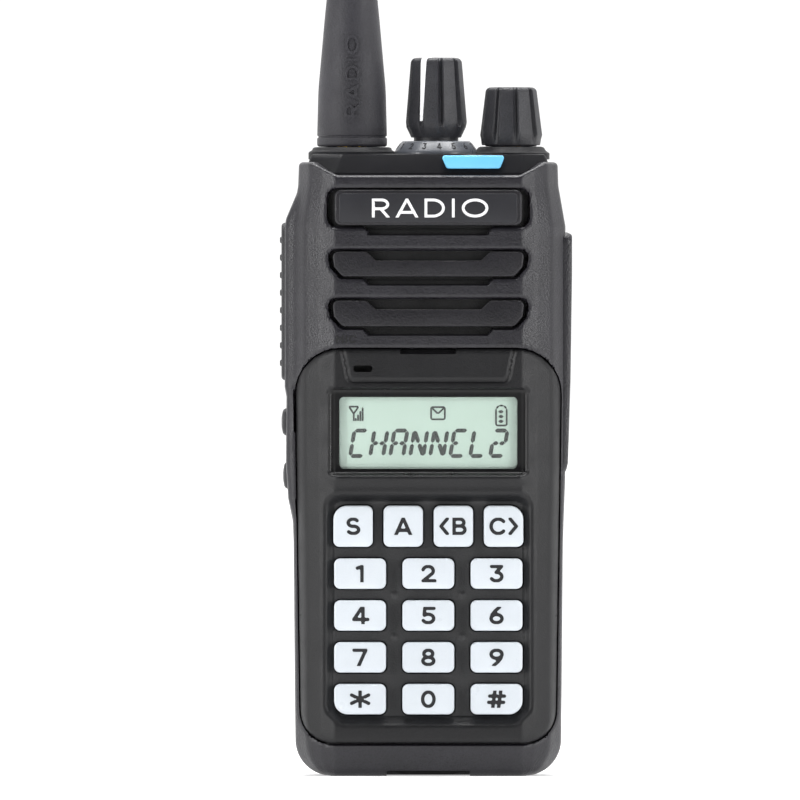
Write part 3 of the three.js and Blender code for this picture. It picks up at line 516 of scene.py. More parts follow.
def front_case():
    columns = lines((0, 0.38), (PLATEAU + 5, 0.6), (SECTION_ARC[-1] - 13.5, 0.45), (SECTION_ARC[-1], 1))
    arc = np.concatenate([-columns[:0:-1], columns])
    heights = lines((0, 0.15), (1.05, 0.3), (2.4, 0.4), (12.5, 0.9), (54, 0.5), (77, 0.38), (FRONT_TOP - 1, 1))
    u = np.interp(np.abs(arc), SECTION_ARC, SECTION[:, 0]) * np.sign(arc)
    v = np.interp(np.abs(arc), SECTION_ARC, SECTION[:, 1])
    x, z = np.meshgrid(u, heights)
    y_plan = np.broadcast_to(v, x.shape).copy()
    # The highest rows lift towards the sides, where the rim stands higher.
    rise = np.interp(np.abs(x), [PLATEAU - 0.4, 23.9], [0, SIDE_TOP - FRONT_TOP])
    z = z + rise * np.clip((z - 109) / (FRONT_TOP - 1 - 109), 0, 1)
    a = np.abs(x)
    scale = (half_width(z) - PLATEAU) / (HALF_WIDTH - PLATEAU)
    x = np.where(a > PLATEAU, np.sign(x) * (PLATEAU + (a - PLATEAU) * scale), x)
    front = y_plan < FRONT + 7.0
    movable = front.copy()
    movable[0, :] = movable[-1, :] = False
    pocket = shape(panel_outline(0.3))
    recesses = [shape(PLATE_RECESS)] + [shape(r) for r in BAR_RECESSES]
    edge = snap(x, z, pocket, 0.2, movable)
    for field in recesses:
        edge |= snap(x, z, field, 0.18, movable)
    y = BACK + (y_plan - BACK) * (front_at(z) - BACK) / (FRONT - BACK)
    y = np.where(front, case_y(x, z), y)
    y += np.where(edge, 0.26, 0)
    y = np.where(front & (pocket(x, z) < -0.05), np.maximum(y + 2.0, -14.6), y)
    deep = np.zeros(x.shape, dtype=bool)
    for field in recesses:
        deep |= front & (field(x, z) < -0.05)
    for corners in SLITS:
        deep |= front & (shape(corners)(x, z) < 0)
    y += np.where(deep, 1.9, 0)
    # Push-to-talk surround on the left, accessory seat on the right.
    side = np.clip((y_plan - (FRONT + 6.2)) / 1.2, 0, 1) * np.clip((BACK - 0.9 - y_plan) / 0.8, 0, 1)
    x = np.where(x < 0, x - swell(z) * side, x)
    sides = ~front
    for corners in [PTT_WINDOW] + SIDE_KEY_WINDOWS:
        x = np.where(sides & (x < 0) & (shape(corners)(y_plan, z) < 0), np.maximum(x, LEFT_POCKET), x)
    x = np.where(sides & (x > 0) & (shape(JACK_SEAT)(y_plan, z) < 0), np.minimum(x, RIGHT_SEAT), x)
    # A rounded rim, then the inner side of the wall.
    rows = [np.stack([x, y, z], axis=-1)]
    top = rows[0][-1]
    inward = np.stack([-np.sign(top[:, 0]) * np.clip((np.abs(top[:, 0]) - 21) / 4, 0, 1),
                       np.clip((-top[:, 1] - 9) / 4, 0, 1), np.zeros(len(top))], axis=-1)
    rim = 0.9
    for t in (0.35, 0.7, 1.05, 1.4, math.pi / 2):
        rows.append((top + inward * rim * (1 - math.cos(t)) + [0, 0, rim * math.sin(t)])[None])
    rows.append((top + inward * (rim + 0.5) + [0, 0, rim])[None])
    outer = np.concatenate(rows)
    count, width = outer.shape[:2]
    notch = (np.abs(outer[..., 0]) < 8.2) & (outer[..., 2] < 1.02) & (outer[..., 1] < -10)
    faces = grid_faces(~notch, count, width)
    toward = np.stack([np.clip(-outer[..., 0] / 20, -1, 1) * (np.abs(outer[..., 0]) > 20),
                       np.clip((-outer[..., 1] - 10) / 3, 0, 1),
                       np.clip((MIDDLE_Z - outer[..., 2]) / 200, -0.1, 0.3)], axis=-1)
    inner = outer + toward * WALL
    # Columns at the rear edge keep a flat rim.
    inner[:, [0, -1], 1] = BACK
    # Faces sunk into the recesses and slits are painted near black: painted shade.
    painted_shade_mask = np.zeros(outer.shape[:2], dtype=bool)
    painted_shade_mask[: deep.shape[0]] = deep
    shell("case_front", outer.reshape(-1, 3), inner.reshape(-1, 3), faces, CASE, deep=[(painted_shade_mask, CLOTH_AND_PAINTED_SHADE)],
          replaces=["front_case"], slot="case")


def base_plates():
    """The base behind the chin: two feet either side of the latch relief and the bridge above it."""
    front = float(front_at(np.array(0.0))) + 1.2
    for word, side in SIDES:
        corners = [(8.2, front), (18.6, front), (19.2, -14.0), (19.2, -4.9), (8.2, -4.9)]
        corners = [(side * u, v, 0.3) for u, v in corners][::side]
        slab("base_foot_" + word, corners, 0.0, 1.6, CASE, view="plan", low_edge=0.1)
    # The bridge over the relief is near black: painted shade in the notch.
    slab("base_bridge", rounded(-8.6, 8.6, front + 2.5, -4.9, 0.3), 1.1, 2.2, DARK_PARTS_AND_PAINTED_SHADE, view="plan")
    # The nose of the relief, a shallow arch set back behind the chin, near black as painted shade.
    arch = [(-7.4, 0.8, 0.1), (-4.8, 0.3, 2.0), (4.8, 0.3, 2.0), (7.4, 0.8, 0.1), (8.0, 1.6, 0.1),
            (-8.0, 1.6, 0.1)]
    slab("base_nose", arch, front + 0.2, front + 3.5, DARK_PARTS_AND_PAINTED_SHADE, low_edge=0.15)


# ---- display and keypad panel
WELL = mirrored((17.6, 9.6, 4.0), (20.7, 12.6, 3.0), (20.6, 55.9, 3.2))
KEY_CUT = {"s": 3, "c": 2, "star": 0, "hash": 1}
KEY_NAMES = "s a b c 1 2 3 4 5 6 7 8 9 star 0 hash".split()
FLANGE = 0.7
KEY_GAP = 0.28


def key_frame(name):
    """Edges and corner radii of a key's face, from its CAD box less the flange behind the panel."""
    low, high = box("key_" + name)
    radii = [1.25] * 4
    if name in KEY_CUT:
        radii[KEY_CUT[name]] = 2.7
    return low[0] + FLANGE, high[0] - FLANGE, low[2] + FLANGE, high[2] - FLANGE, radii


def front_panel():
    x, z, movable = sheet(lines((-26.2, 0.34), (26.2, 1)), lines((PANEL_BOTTOM, 0.34), (PANEL_TOP, 1)))
    rim_field = shape(panel_outline())
    holes = [rect(-17.5, 17.5, 60.4, 74.5, 0.9), rect(-14.7, -11.0, 79.4, 80.7, 0.35)]
    for name in KEY_NAMES:
        x0, x1, z0, z1, radii = key_frame(name)
        holes.append(rect(x0 - KEY_GAP, x1 + KEY_GAP, z0 - KEY_GAP, z1 + KEY_GAP, *[r + 0.2 for r in radii]))
    snap(x, z, rim_field, 0.19, movable)
    for field in holes:
        snap(x, z, field, 0.17, movable)
    keep = rim_field(x, z) < 0.02
    for field in holes:
        keep &= field(x, z) > -0.02
    y = case_y(x, z)
    # Edge of the panel, rolled over.
    rim = rim_field(x, z)
    y += 0.5 * np.clip(1 + rim / 0.9, 0, 1) ** 2
    # The bezel slopes down to the window on all four sides; its slope is painted near black as painted shade.
    bezel = rect(-19.7, 19.7, 58.9, 76.4, 1.2)(x, z)
    y += 1.05 * np.clip(-bezel / 0.7, 0, 1)
    # A rounded ridge, then the sunk field around the keys, painted lighter than the panel as painted light
    # against its shade.
    well = shape(WELL)(x, z)
    slope = np.clip(-well / 2.3, 0, 1)
    y += 2.0 * slope * slope * (3 - 2 * slope)
    across = np.clip((20.5 - np.abs(x)) / 3, 0, 1)
    y -= 0.6 * across * np.exp(-(((z - 58.6) / 1.2) ** 2))
    # A soft groove round the brow, then four nubs between the number keys.
    brow = np.abs(shape(mirrored((15.6, 77.5, 1.2), (17.2, 85.5)))(x, z))
    y += 0.5 * np.clip(1 - brow / 0.55, 0, 1)
    for side in (-1, 1):
        for sx in (-6.7, 6.7):
            nub = np.hypot(x - sx, z - (31.5 + side * 4.1))
            y -= 0.35 * np.clip(1 - nub / 0.62, 0, 1) ** 0.5
    y += np.where(rect(-5.35, 5.35, 83.1, 86, 0.1)(x, z) < 0, 1.2, 0)
    outer = np.stack([x, y, z], axis=-1).reshape(-1, 3)
    inner = outer + [0, 1.7, 0]
    shell("panel_face", outer, inner, grid_faces(keep, *x.shape), PANEL,
          deep=[(bezel < -0.15, BEZEL_PAINTED_SHADE), (well < -1.9, WELL_PAINTED_LIGHT)], replaces=["front_panel"], slot="panel")


# ---- lettering
def bow(cx, cz, rx, rz, start, end, steps=18):
    """An elliptical arc from one angle to another, in degrees."""
    t = np.radians(np.linspace(start, end, steps + 1))
    return np.column_stack([cx + rx * np.cos(t), cz + rz * np.sin(t)])


def ring(cx, cz, rx, rz, steps=18):
    return bow(cx, cz, rx, rz, 0, 360, steps)


def bowl(cx, cz, rx, rz, steps=18):
    """A half round to the right of a stem, closed to it at top and bottom."""
    return np.vstack([[(0.1, cz + rz)], bow(cx, cz, rx, rz, 90, -90, steps), [(0.1, cz - rz)]])


STEM = [(0.1, -0.1), (0.1, 1.1)]
# Each glyph: its width, and its strokes in a cell one unit tall.
GLYPHS = {
    "0": (0.72, [ring(0.36, 0.5, 0.275, 0.415)]),
    "1": (0.5, [[(0.34, -0.1), (0.34, 0.91)], [(0.34, 0.91), (0.12, 0.82)]]),
    "2": (0.7, [np.vstack([bow(0.34, 0.66, 0.25, 0.255, 165, -38), [(0.1, 0.085), (0.66, 0.085)]])]),
    "3": (0.68, [[(0.1, 0.915), (0.58, 0.915), (0.32, 0.575)], bow(0.33, 0.33, 0.265, 0.245, 82, -150)]),
    "4": (0.78, [[(0.5, 1.0), (0.09, 0.27), (0.76, 0.27)], [(0.53, -0.1), (0.53, 0.93)]]),
    "5": (0.7, [[(0.62, 0.915), (0.18, 0.915), (0.155, 0.53)], bow(0.34, 0.33, 0.27, 0.245, 132, -150)]),
    "6": (0.72, [ring(0.36, 0.32, 0.265, 0.235), [(0.105, 0.36), (0.15, 0.55), (0.29, 0.76), (0.5, 0.98)]]),
    "7": (0.7, [[(0.06, 0.915), (0.62, 0.915), (0.26, -0.05)]]),
    "8": (0.72, [ring(0.36, 0.71, 0.215, 0.205), ring(0.36, 0.295, 0.265, 0.21)]),
    "9": (0.72, [ring(0.36, 0.68, 0.265, 0.235), [(0.615, 0.64), (0.57, 0.45), (0.43, 0.24), (0.22, 0.02)]]),
    "S": (0.7, [np.vstack([bow(0.35, 0.705, 0.235, 0.21, 35, 262), bow(0.36, 0.295, 0.26, 0.21, 82, -148)])]),
    "A": (0.8, [[(0.02, -0.08), (0.4, 0.96), (0.78, -0.08)], [(0.14, 0.27), (0.66, 0.27)]]),
    "B": (0.72, [STEM, bowl(0.38, 0.715, 0.19, 0.2), bowl(0.4, 0.3, 0.22, 0.215)]),
    "C": (0.76, [bow(0.42, 0.5, 0.345, 0.415, 42, 318, 26)]),
    "D": (0.8, [STEM, bowl(0.34, 0.5, 0.38, 0.43, 26)]),
    "I": (0.2, [STEM]),
    "M": (0.9, [[(0.1, -0.1), (0.1, 0.92), (0.45, 0.35), (0.8, 0.92), (0.8, -0.1)]]),
    "O": (1.0, [ring(0.5, 0.5, 0.42, 0.43, 32)]),
    "R": (0.72, [STEM, bowl(0.38, 0.695, 0.23, 0.235), [(0.36, 0.46), (0.68, -0.08)]]),
    "E": (0.66, [[(0.6, 0.915), (0.1, 0.915), (0.1, 0.085), (0.6, 0.085)], [(0.1, 0.5), (0.52, 0.5)]]),
    "K": (0.7, [STEM, [(0.62, 1.08), (0.12, 0.42)], [(0.26, 0.58), (0.66, -0.08)]]),
    "L": (0.64, [[(0.1, 1.1), (0.1, 0.085), (0.6, 0.085)]]),
    "N": (0.76, [[(0.1, -0.1), (0.1, 0.95), (0.66, 0.05), (0.66, 1.1)]]),
    "P": (0.7, [STEM, bowl(0.38, 0.68, 0.23, 0.25)]),
    "T": (0.7, [[(0.0, 0.915), (0.7, 0.915)], [(0.35, 0.9), (0.35, -0.1)]]),
    "V": (0.76, [[(0.02, 1.08), (0.38, 0.04), (0.74, 1.08)]]),
    "Y": (0.72, [[(0.02, 1.05), (0.36, 0.48), (0.7, 1.05)], [(0.36, 0.48), (0.36, -0.1)]]),
    ".": (0.2, [[(0.1, -0.05), (0.1, 0.08)]]),
    "-": (0.5, [[(0.05, 0.5), (0.45, 0.5)]]),
    " ": (0.4, []),
    "<": (0.42, [[(0.36, 0.93), (0.06, 0.5), (0.36, 0.07)]]),
    ">": (0.42, [[(0.06, 0.93), (0.36, 0.5), (0.06, 0.07)]]),
    "#": (0.84, [[(0.24, 0.02), (0.34, 0.98)], [(0.52, 0.02), (0.62, 0.98)], [(0.04, 0.32), (0.76, 0.32)],
                 [(0.09, 0.68), (0.8, 0.68)]]),
    "*": (0.94, [[(0.47, 0.02), (0.47, 0.98)], [(0.06, 0.26), (0.88, 0.74)], [(0.06, 0.74), (0.88, 0.26)]]),
}
LETTER_GAP = 0.17


def sd_path(x, z, points):
    """Distance to an open path."""
    best = np.full(x.shape, 1e9)
    for (ax, az), (bx, bz) in zip(points, points[1:]):
        ex, ez = bx - ax, bz - az
        t = np.clip(((x - ax) * ex + (z - az) * ez) / max(ex * ex + ez * ez, 1e-12), 0, 1)
        best = np.minimum(best, np.hypot(x - ax - ex * t, z - az - ez * t))
    return best


def lettering(name, text, height, x, y, z, mat, body=RADIO, weight=0.17, depth=0.06, stretch=1.0, place=None,
              slot=None):
    """Raised letters cut square at top and bottom, centred on (x, z) at the depth y of the front face.

    place(u, v, depth) puts them elsewhere: u runs along the text, v up it, and depth stands out of it."""
    paths, pen = [], 0.0
    for letter in text:
        wide, runs = GLYPHS[letter]
        paths += [np.asarray(run, dtype=float) + [pen, 0] for run in runs]
        pen += wide + LETTER_GAP
    total = pen - LETTER_GAP
    across = height * stretch
    paths = [(p - [total / 2, 0.5]) * [across, height] for p in paths]
    half = weight * height / 2

    def field(u, v):
        near = np.min([sd_path(u, v, p) for p in paths], axis=0) - half
        return np.maximum(near, np.abs(v) - height / 2)

    step = half * 0.42
    reach_u, reach_v = total * across / 2 + half + step, height / 2 + step
    u, v, movable = sheet(lines((-reach_u, step), (reach_u, 1)), lines((-reach_v, step), (reach_v, 1)))
    snap(u, v, field, step * 0.52, movable)
    faces = grid_faces(field(u, v) < step * 0.1, *u.shape)
    u, v = u.reshape(-1), v.reshape(-1)
    if place:
        outer, inner = place(u, v, depth), place(u, v, 0.0)
    else:
        outer = np.column_stack([x + u, np.full(len(u), y - depth), z + v])
        inner = outer + [0, depth, 0]
    return shell(name, outer, inner, faces, mat, body=body, crease=30, slot=slot)


KEY_TEXT = {"star": "*", "hash": "#", "b": "<B", "c": "C>", "s": "S", "a": "A"}


def keys():
    for name in KEY_NAMES:
        x0, x1, z0, z1, r = key_frame(name)
        face = box("key_" + name)[0][1]
        corners = [(x0, z0, r[0]), (x1, z0, r[1]), (x1, z1, r[2]), (x0, z1, r[3])]
        slab("key_face_" + name, corners, face, -16.6, KEY, body="key_" + name, replaces=["key_" + name],
             slot="key", low_edge=0.45, crown=[(0.6, 0.09), (1.4, 0.15), (2.2, 0.17)])
        lettering("key_legend_" + name, KEY_TEXT.get(name, name), 3.4, (x0 + x1) / 2, face - 0.1,
                  (z0 + z1) / 2, LEGEND, body="key_" + name, depth=0.1, weight=0.2, stretch=1.2)


# ---- display
def strokes(name, runs, y, thick, mat, width=0.42, slant=0.0, base=0.0, **rest):
    """Printed strokes with pointed ends, each from (x0, z0) to (x1, z1)."""
    points, faces = [], []
    for x0, z0, x1, z1 in runs:
        along = np.array([x1 - x0, z1 - z0])
        length = np.linalg.norm(along)
        along = along / length
        across = np.array([-along[1], along[0]]) * width / 2
        a, b = np.array([x0, z0]), np.array([x1, z1])
        tip = along * width / 2
        ring = [a, a + tip + across, b - tip + across, b, b - tip - across, a + tip - across]
        start = len(points)
        for depth in (y, y + thick):
            for u, v in ring:
                points.append((u + slant * (v - base), depth, v))
        faces.append(tuple(start + i for i in range(5, -1, -1)))
        faces.append(tuple(start + 6 + i for i in range(6)))
        for i in range(6):
            j = (i + 1) % 6
            faces.append((start + i, start + j, start + 6 + j, start + 6 + i))
    return piece(name, points, faces, mat, crease=30, **rest)


SEGMENTS = {
    "a": (0, 2, 1, 2), "b": (1, 2, 1, 1), "c": (1, 1, 1, 0), "d": (0, 0, 1, 0), "e": (0, 1, 0, 0),
    "f": (0, 2, 0, 1), "g": (0, 1, 0.5, 1), "h": (0.5, 1, 1, 1), "i": (0, 2, 0.5, 1), "j": (0.5, 1, 1, 0),
}
LETTERS = {"C": "adef", "H": "bcefgh", "A": "abcefgh", "N": "bcefij", "E": "adefg", "L": "def", "2": "abghed"}


def display():
    window_low, window_high = box("display_window")
    face = window_high[1] + 0.12
    slab("display_panel", rounded(-17.5, 17.5, 60.6, 74.5, 0.9), face, face + 0.5, SCREEN, low_edge=0.1,
         slot="display")
    slab("display_glass", rounded(window_low[0], window_high[0], window_low[2], window_high[2], 0.7),
         window_low[1], window_high[1], GLASS, replaces=["display_window"], slot="window", low_edge=0.08)
    ink = face - 0.05
    pitch, tall, wide, base = 3.93, 5.0, 2.55, 62.9
    runs = []
    for i, letter in enumerate("CHANNEL2"):
        left = -15.35 + i * pitch
        for s in LETTERS[letter]:
            u0, v0, u1, v1 = SEGMENTS[s]
            a = np.array([left + u0 * wide, base + v0 * tall / 2])
            b = np.array([left + u1 * wide, base + v1 * tall / 2])
            gap = (b - a) / np.linalg.norm(b - a) * 0.06
            runs.append((*(a + gap), *(b - gap)))
    strokes("display_text", runs, ink, 0.04, LCD_INK, width=0.78, slant=0.17, base=base)

    def icon(x, z, parts):
        return [(x + a, z + b, x + c, z + d) for a, b, c, d in parts]

    signal = [(0, 2.9, 1.9, 2.9), (0, 2.9, 0.95, 1.5), (1.9, 2.9, 0.95, 1.5), (0.95, 1.7, 0.95, 0)]
    signal += [(1.35 + 0.45 * k, 0, 1.35 + 0.45 * k, 0.7 + 0.7 * k) for k in range(4)]
    envelope = [(0, 0, 2.7, 0), (0, 2.4, 2.7, 2.4), (0, 0, 0, 2.4), (2.7, 0, 2.7, 2.4),
                (0, 2.4, 1.35, 1.1), (2.7, 2.4, 1.35, 1.1)]
    cell = [(0, 0, 2.1, 0), (0, 0, 0, 3.3), (2.1, 0, 2.1, 3.3), (0, 3.3, 0.6, 3.9), (2.1, 3.3, 1.5, 3.9),
            (0.6, 3.9, 1.5, 3.9)]
    icons = icon(-15.6, 69.7, signal) + icon(0.55, 70.1, envelope) + icon(13.3, 68.9, cell)
    strokes("display_icons", icons, ink, 0.04, LCD_INK, width=0.36)
    charge = [(0.45, 0.8 + 0.95 * k, 1.5, 0.8 + 0.95 * k) for k in range(3)]
    strokes("display_charge", icon(13.3, 68.9, charge), ink - 0.02, 0.04, LCD_INK, width=0.62)


# ---- name plate and grille
def grille():
    low, high = box("name_plate")
    slab("name_plate_rim", rounded(low[0] - 0.1, high[0] + 0.1, low[2] - 0.1, high[2] + 0.1, 1.4), FRONT - 0.15,
         high[1], BAR, replaces=["name_plate"], slot="panel", low_edge=0.4)
    slab("name_plate_field", rounded(-17.5, 17.5, 108.75, 114.45, 0.7), FRONT - 0.28, FRONT + 0.2, PLATE,
         low_edge=0.12, slot="panel")
    lettering("name_plate_text", "RADIO", 3.7, 0.3, FRONT - 0.27, 111.6, WHITE_INK, weight=0.145, stretch=1.5)
    for name, z0, z1 in (("upper", 97.6, 103.6), ("lower", 87.8, 94.0)):
        low, high = z0 + 0.55, z1 - 0.55
        corners = mirrored((16.9, low, 1.3), (18.5, low + 1.9, 1.0), (18.9, high, 1.1), (12.2, high, 0.7),
                           (10.3, high - 1.75, 0.5))
        slab("grille_bar_%s_face" % name, corners, FRONT - 0.02, FRONT + 1.2, BAR,
             replaces=["grille_bar_" + name], slot="case", low_edge=0.3)
    # The MIC letters are painted near black: painted shade of their relief.
    lettering("microphone_mark", "MIC", 1.5, -16.2, FRONT + 0.02, 85.85, DARK_PARTS_AND_PAINTED_SHADE, weight=0.2, depth=0.1,
              stretch=1.2)


# ---- top cover, lamp and dial
def top_cover():
    """A slab whose front and corners slope back to a smaller deck."""
    foot = mirrored((18.4, -18.6, 1.6), (24.2, -15.2, 1.6), (24.2, 10.2, 2.0), (21.4, 12.9, 3.0))
    deck = mirrored((18.6, -16.9, 1.6), (23.2, -13.7, 1.6), (23.2, 9.8, 2.0), (20.8, 12.0, 3.0))
    # Beside the antenna the deck's front edge is a little shorter.
    deck[0] = (-17.2, -16.9, 1.6)
    edge, brink = 0.9, 118.4
    bottom, top = outline(foot), outline(deck)
    rings = [(outline(pull_in(foot, 0.3)), 116.0), (bottom, 116.3), (bottom, brink)]
    for t in (0.06, 0.5, 0.9):
        rings.append((bottom * (1 - t) + top * t, brink + (DECK - 0.6 - brink) * t))
    for t in (0.3, 0.65, 1.0):
        rings.append((outline(pull_in(deck, edge * t)), DECK - 0.35 + 0.35 * math.sin(t * math.pi / 2)))
    loft("top_cover_shell", rings, COVER, replaces=["top_cover"], slot="cover", crease=35)
    # It closes the seam between the front case and the chassis.
    slab("chassis_gasket", rounded(-22.6, 22.6, 88.8, 116.2, 1.5), -0.7, 0.5, DARK_PARTS_AND_PAINTED_SHADE)
    for name, x, steps in (
        ("antenna_boss", ANTENNA_X, [(8.6, -1), (8.6, 0.3), (8.3, 0.6), (7.9, 0.8), (7.7, 1.25), (7.3, 1.4)]),
        ("volume_boss", VOLUME_X, [(7.6, -1), (7.6, 0.2), (6.9, 0.7), (6.5, 1.3), (6.1, 1.5)]),
    ):
        profile = above(DECK, (0.01, -1), *steps, (0.01, steps[-1][1]))
        turned(name, profile, x, CONTROLS_Y, COVER, slot="cover")
    lens = [(3.6, 119.35, 0.7), (14.1, 119.35, 0.7), (15.1, 121.95, 0.5), (2.5, 121.95, 0.5)]
    slab("lamp_face", lens, -18.9, -16.2, LAMP, replaces=["status_lens"], slot="lamp", low_edge=0.35)


def dial():
    low, high = box("channel_ring")
    top = high[2]
    turned("channel_dial", [(4.7, low[2]), (8.35, low[2]), (8.35, low[2] + 0.35), (8.1, low[2] + 0.7),
                            (6.9, top - 0.25), (6.6, top), (4.7, top)],
           CHANNEL_X, CONTROLS_Y, DIAL, replaces=["channel_ring"], slot="dial")
    for number in range(1, 17):

        def wrap(u, v, depth, turn=math.radians(-63 + 22.5 * (number - 1))):
            """Up the slope of the dial, facing outwards."""
            t = v / 1.65 + 0.5
            radius = 8.1 - 1.2 * t + depth * 0.6
            height = low[2] + 0.7 + (top - 0.95 - low[2]) * t + depth * 0.8
            angle = turn + u / 7.5
            return around(CHANNEL_X, angle, radius, height)

        lettering("dial_mark_%d" % number, str(number), 1.2, 0, 0, 0, LEGEND, depth=0.05, place=wrap)


def fluted(count, depth, z_low, z_high):
    """Radius of a knob whose broad faces are parted by narrow grooves between two heights."""

    def radius(angle, z, r):
        phase = (angle * count / (2 * math.pi)) % 1.0
        groove = np.exp(-((np.minimum(phase, 1 - phase) / 0.115) ** 4))
        fade = np.clip((z - z_low) / 0.9, 0, 1) * np.clip((z_high - z) / 0.5, 0, 1)
        face = math.cos(math.pi / count) / np.cos((phase - 0.5) * 2 * math.pi / count)
        return max(r, 0.01) * (1 - fade * (1 - face) * 0.8) - depth * groove * fade * min(1, r / 3)

    return radius


def knob(control, x, foot, skirt, taper, rows, crest, groove, groove_rise):
    """A fluted knob. skirt is radii and heights over the foot, crest the radii of the rounded top."""
    top = box(control + "_knob")[1][2]
    radius, rise = skirt[-1]
    profile = above(foot, *skirt)
    for t in np.linspace(0.08, 1, rows):
        profile.append((radius - taper * t, foot + rise + (top - 0.9 - foot - rise) * t))
    profile += [(r, top - drop) for r, drop in zip((*crest, 0.01), (0.6, 0.25, 0.05, 0, 0.1, 0.1))]
    turned(control + "_knob_grip", profile, x, CONTROLS_Y, KNOB, sides=216, body=control + "_control",
           flute=fluted(9, groove, foot + groove_rise, top + 0.4), replaces=[control + "_knob"], slot="knob")


def knobs():
    knob("channel", CHANNEL_X, box("channel_knob")[0][2] + 0.4,
         [(0.01, -1.8), (4.35, -1.8), (4.4, 0), (4.9, 0), (5.0, 0.2), (5.9, 2.0), (6.2, 2.7), (6.27, 3.1)],
         1.0, 10, (5.15, 4.85, 4.4, 3.9, 3.4), 0.95, 1.9)
    knob("volume", VOLUME_X, box("volume_knob")[0][2],
         [(0.01, -0.22), (5.0, -0.22), (5.1, 0), (5.7, 0), (5.8, 0.2), (6.1, 1.3), (6.38, 2.0)],
         1.1, 9, (5.2, 4.9, 4.5, 4.0, 3.5), 0.85, 0.8)
    pointer()


def pointer():
    """A white index line up the channel knob and over its edge, left of the front."""
    low, high = box("channel_knob")
    angle = math.radians(-90 - 29)
    out = np.array([math.cos(angle), math.sin(angle)])
    across = np.array([-out[1], out[0]])
    top = high[2]
    # Along it: radius, height, tilt, half width and how far it stands out.
    spine = [(6.02, low[2] + 3.6, 0.0, 0.28, 0.09), (5.06, top - 1.1, 0.1, 0.6, 0.09),
             (4.95, top - 0.6, 0.5, 0.6, 0.09), (4.6, top - 0.12, 1.1, 0.6, 0.09),
             (2.6, top, math.pi / 2, 0.6, 0.05)]
    rows = []
    for radius, height, tilt, half, lift in spine:
        section = []
        for side, rise in ((-1, -0.5), (1, -0.5), (1, 0.0), (0.6, 0.06), (-0.6, 0.06), (-1, 0.0)):
            rise += lift
            point = out * (radius + rise * math.cos(tilt)) + across * side * half
            section.append((CHANNEL_X + point[0], CONTROLS_Y + point[1], height + rise * math.sin(tilt)))
        rows.append(np.array(section))
    points, faces = rings_to_mesh(rows)
    piece("channel_pointer", points, [f[::-1] for f in faces], WHITE_INK, body="channel_control", crease=30)


# ---- antenna
def antenna():
    low, high = box("antenna_sheath")
    foot, tip = low[2], high[2]
    profile = above(foot, (3.2, 0.3), (3.2, 0), (6.5, 0), (6.85, 0.25), (6.9, 0.5), (6.9, 1.6), (6.75, 1.75),
                    (6.62, 1.8), (6.62, 2.0), (6.8, 2.1), (6.88, 2.3))
    neck = 164
    for t in np.linspace(0.06, 1, 20):
        z = foot + 2.3 + (neck - foot - 2.3) * t
        profile.append((float(np.interp(z, [126, 135, 149, 157, neck], [6.88, 6.65, 5.4, 4.6, 4.15])), z))
    for t in np.linspace(0.05, 1, 14):
        profile.append((4.15 - 0.7 * t, neck + (tip - 18 - neck) * t))
    profile += above(tip, (3.5, -17), (3.7, -14), (3.78, -11), (3.78, -4), (3.6, -2.2), (3.1, -1), (2.2, -0.3),
                     (1.2, -0.05), (0.01, 0))
    turned("antenna_skin", profile, ANTENNA_X, CONTROLS_Y, ANTENNA, body="antenna",
           replaces=["antenna_sheath"], slot="antenna")

    def wrap(u, v, depth):
        """Letters stand on end up the front of the sheath: their length runs up, their height across."""
        height = 137.6 + u
        radius = np.interp(height, [126, 135, 149], [6.88, 6.65, 5.4]) - 0.1 + depth
        angle = -v / 6.2
        return around(ANTENNA_X, angle, radius, height)

    lettering("antenna_mark", "RADIO", 2.7, 0, 0, 0, ANTENNA, body="antenna", depth=0.38, weight=0.2,
              stretch=1.45, place=wrap, slot="antenna")


# ---- side controls
def button(node, name, inner, proud, edge, radius, crown=()):
    """A rubber button on the left side, from its CAD box less the flange behind the case."""
    low, high = box(node)
    flange = 0.6
    edges = low[1] + flange, high[1] - flange, low[2] + flange, high[2] - flange
    slab(name, rounded(*edges, radius), low[0] + proud, inner, RUBBER, low_edge=edge, crown=crown, view="side",
         body=node, replaces=[node], slot="rubber")
    return (*edges, low[0] + proud)


def left_buttons():
    y0, y1, z0, z1, face = button("ptt_button", "ptt_bar", LEFT_POCKET - 1.4, 0.25, 0.7, 2.0)
    count = 8
    for i in range(count):
        z = z0 + 3.4 + i * (z1 - z0 - 6.8) / (count - 1)
        slab("ptt_rib_%d" % (i + 1), rounded(y0 + 1.5, y1 - 1.5, z - 0.65, z + 0.65, 0.6), face - 0.3,
             face + 0.5, RUBBER, low_edge=0.3, view="side", body="ptt_button", slot="rubber")
    for node in ("side_key_upper", "side_key_lower"):
        button(node, node + "_cap", LEFT_POCKET - 1.8, 0.0, 0.9, 1.9, crown=[(0.6, 0.12), (1.2, 0.18)])


def jack_cover():
    """A plate with a rounded edge and a hole around its screw, standing prouder towards the top."""
    low, high = box("jack_cover")
    screw = np.mean(box("jack_screw"), axis=0)
    plate = shape(rounded(low[1], high[1], low[2], high[2], 2))
    hole = lambda u, v: 2.9 - np.hypot(u - screw[1], v - screw[2])
    u, v, movable = sheet(lines((low[1], 0.36), (high[1], 1)), lines((low[2], 0.36), (high[2], 1)))
    snap(u, v, plate, 0.2, movable)
    snap(u, v, hole, 0.2, movable)
    edge = 0.8
    short = np.clip(edge + np.maximum(plate(u, v), hole(u, v) - 0.5), 0, edge)
    face = np.interp(v, [59.4, 61.5, 78, 99, 106.2, 106.9], [27.0, 27.5, 28.0, 28.3, 28.3, 28.1])
    face = face - edge + np.sqrt(edge**2 - short**2)
    keep = (plate(u, v) < 0.02) & (hole(u, v) < 0.02)
    outer = np.stack([face, u, v], axis=-1).reshape(-1, 3)
    inner = np.stack([np.full(u.shape, low[0]), u, v], axis=-1).reshape(-1, 3)
    shell("jack_cover_shell", outer, inner, grid_faces(keep, *u.shape), CASE, body="jack_cover",
          replaces=["jack_cover"], slot="case", crease=40)


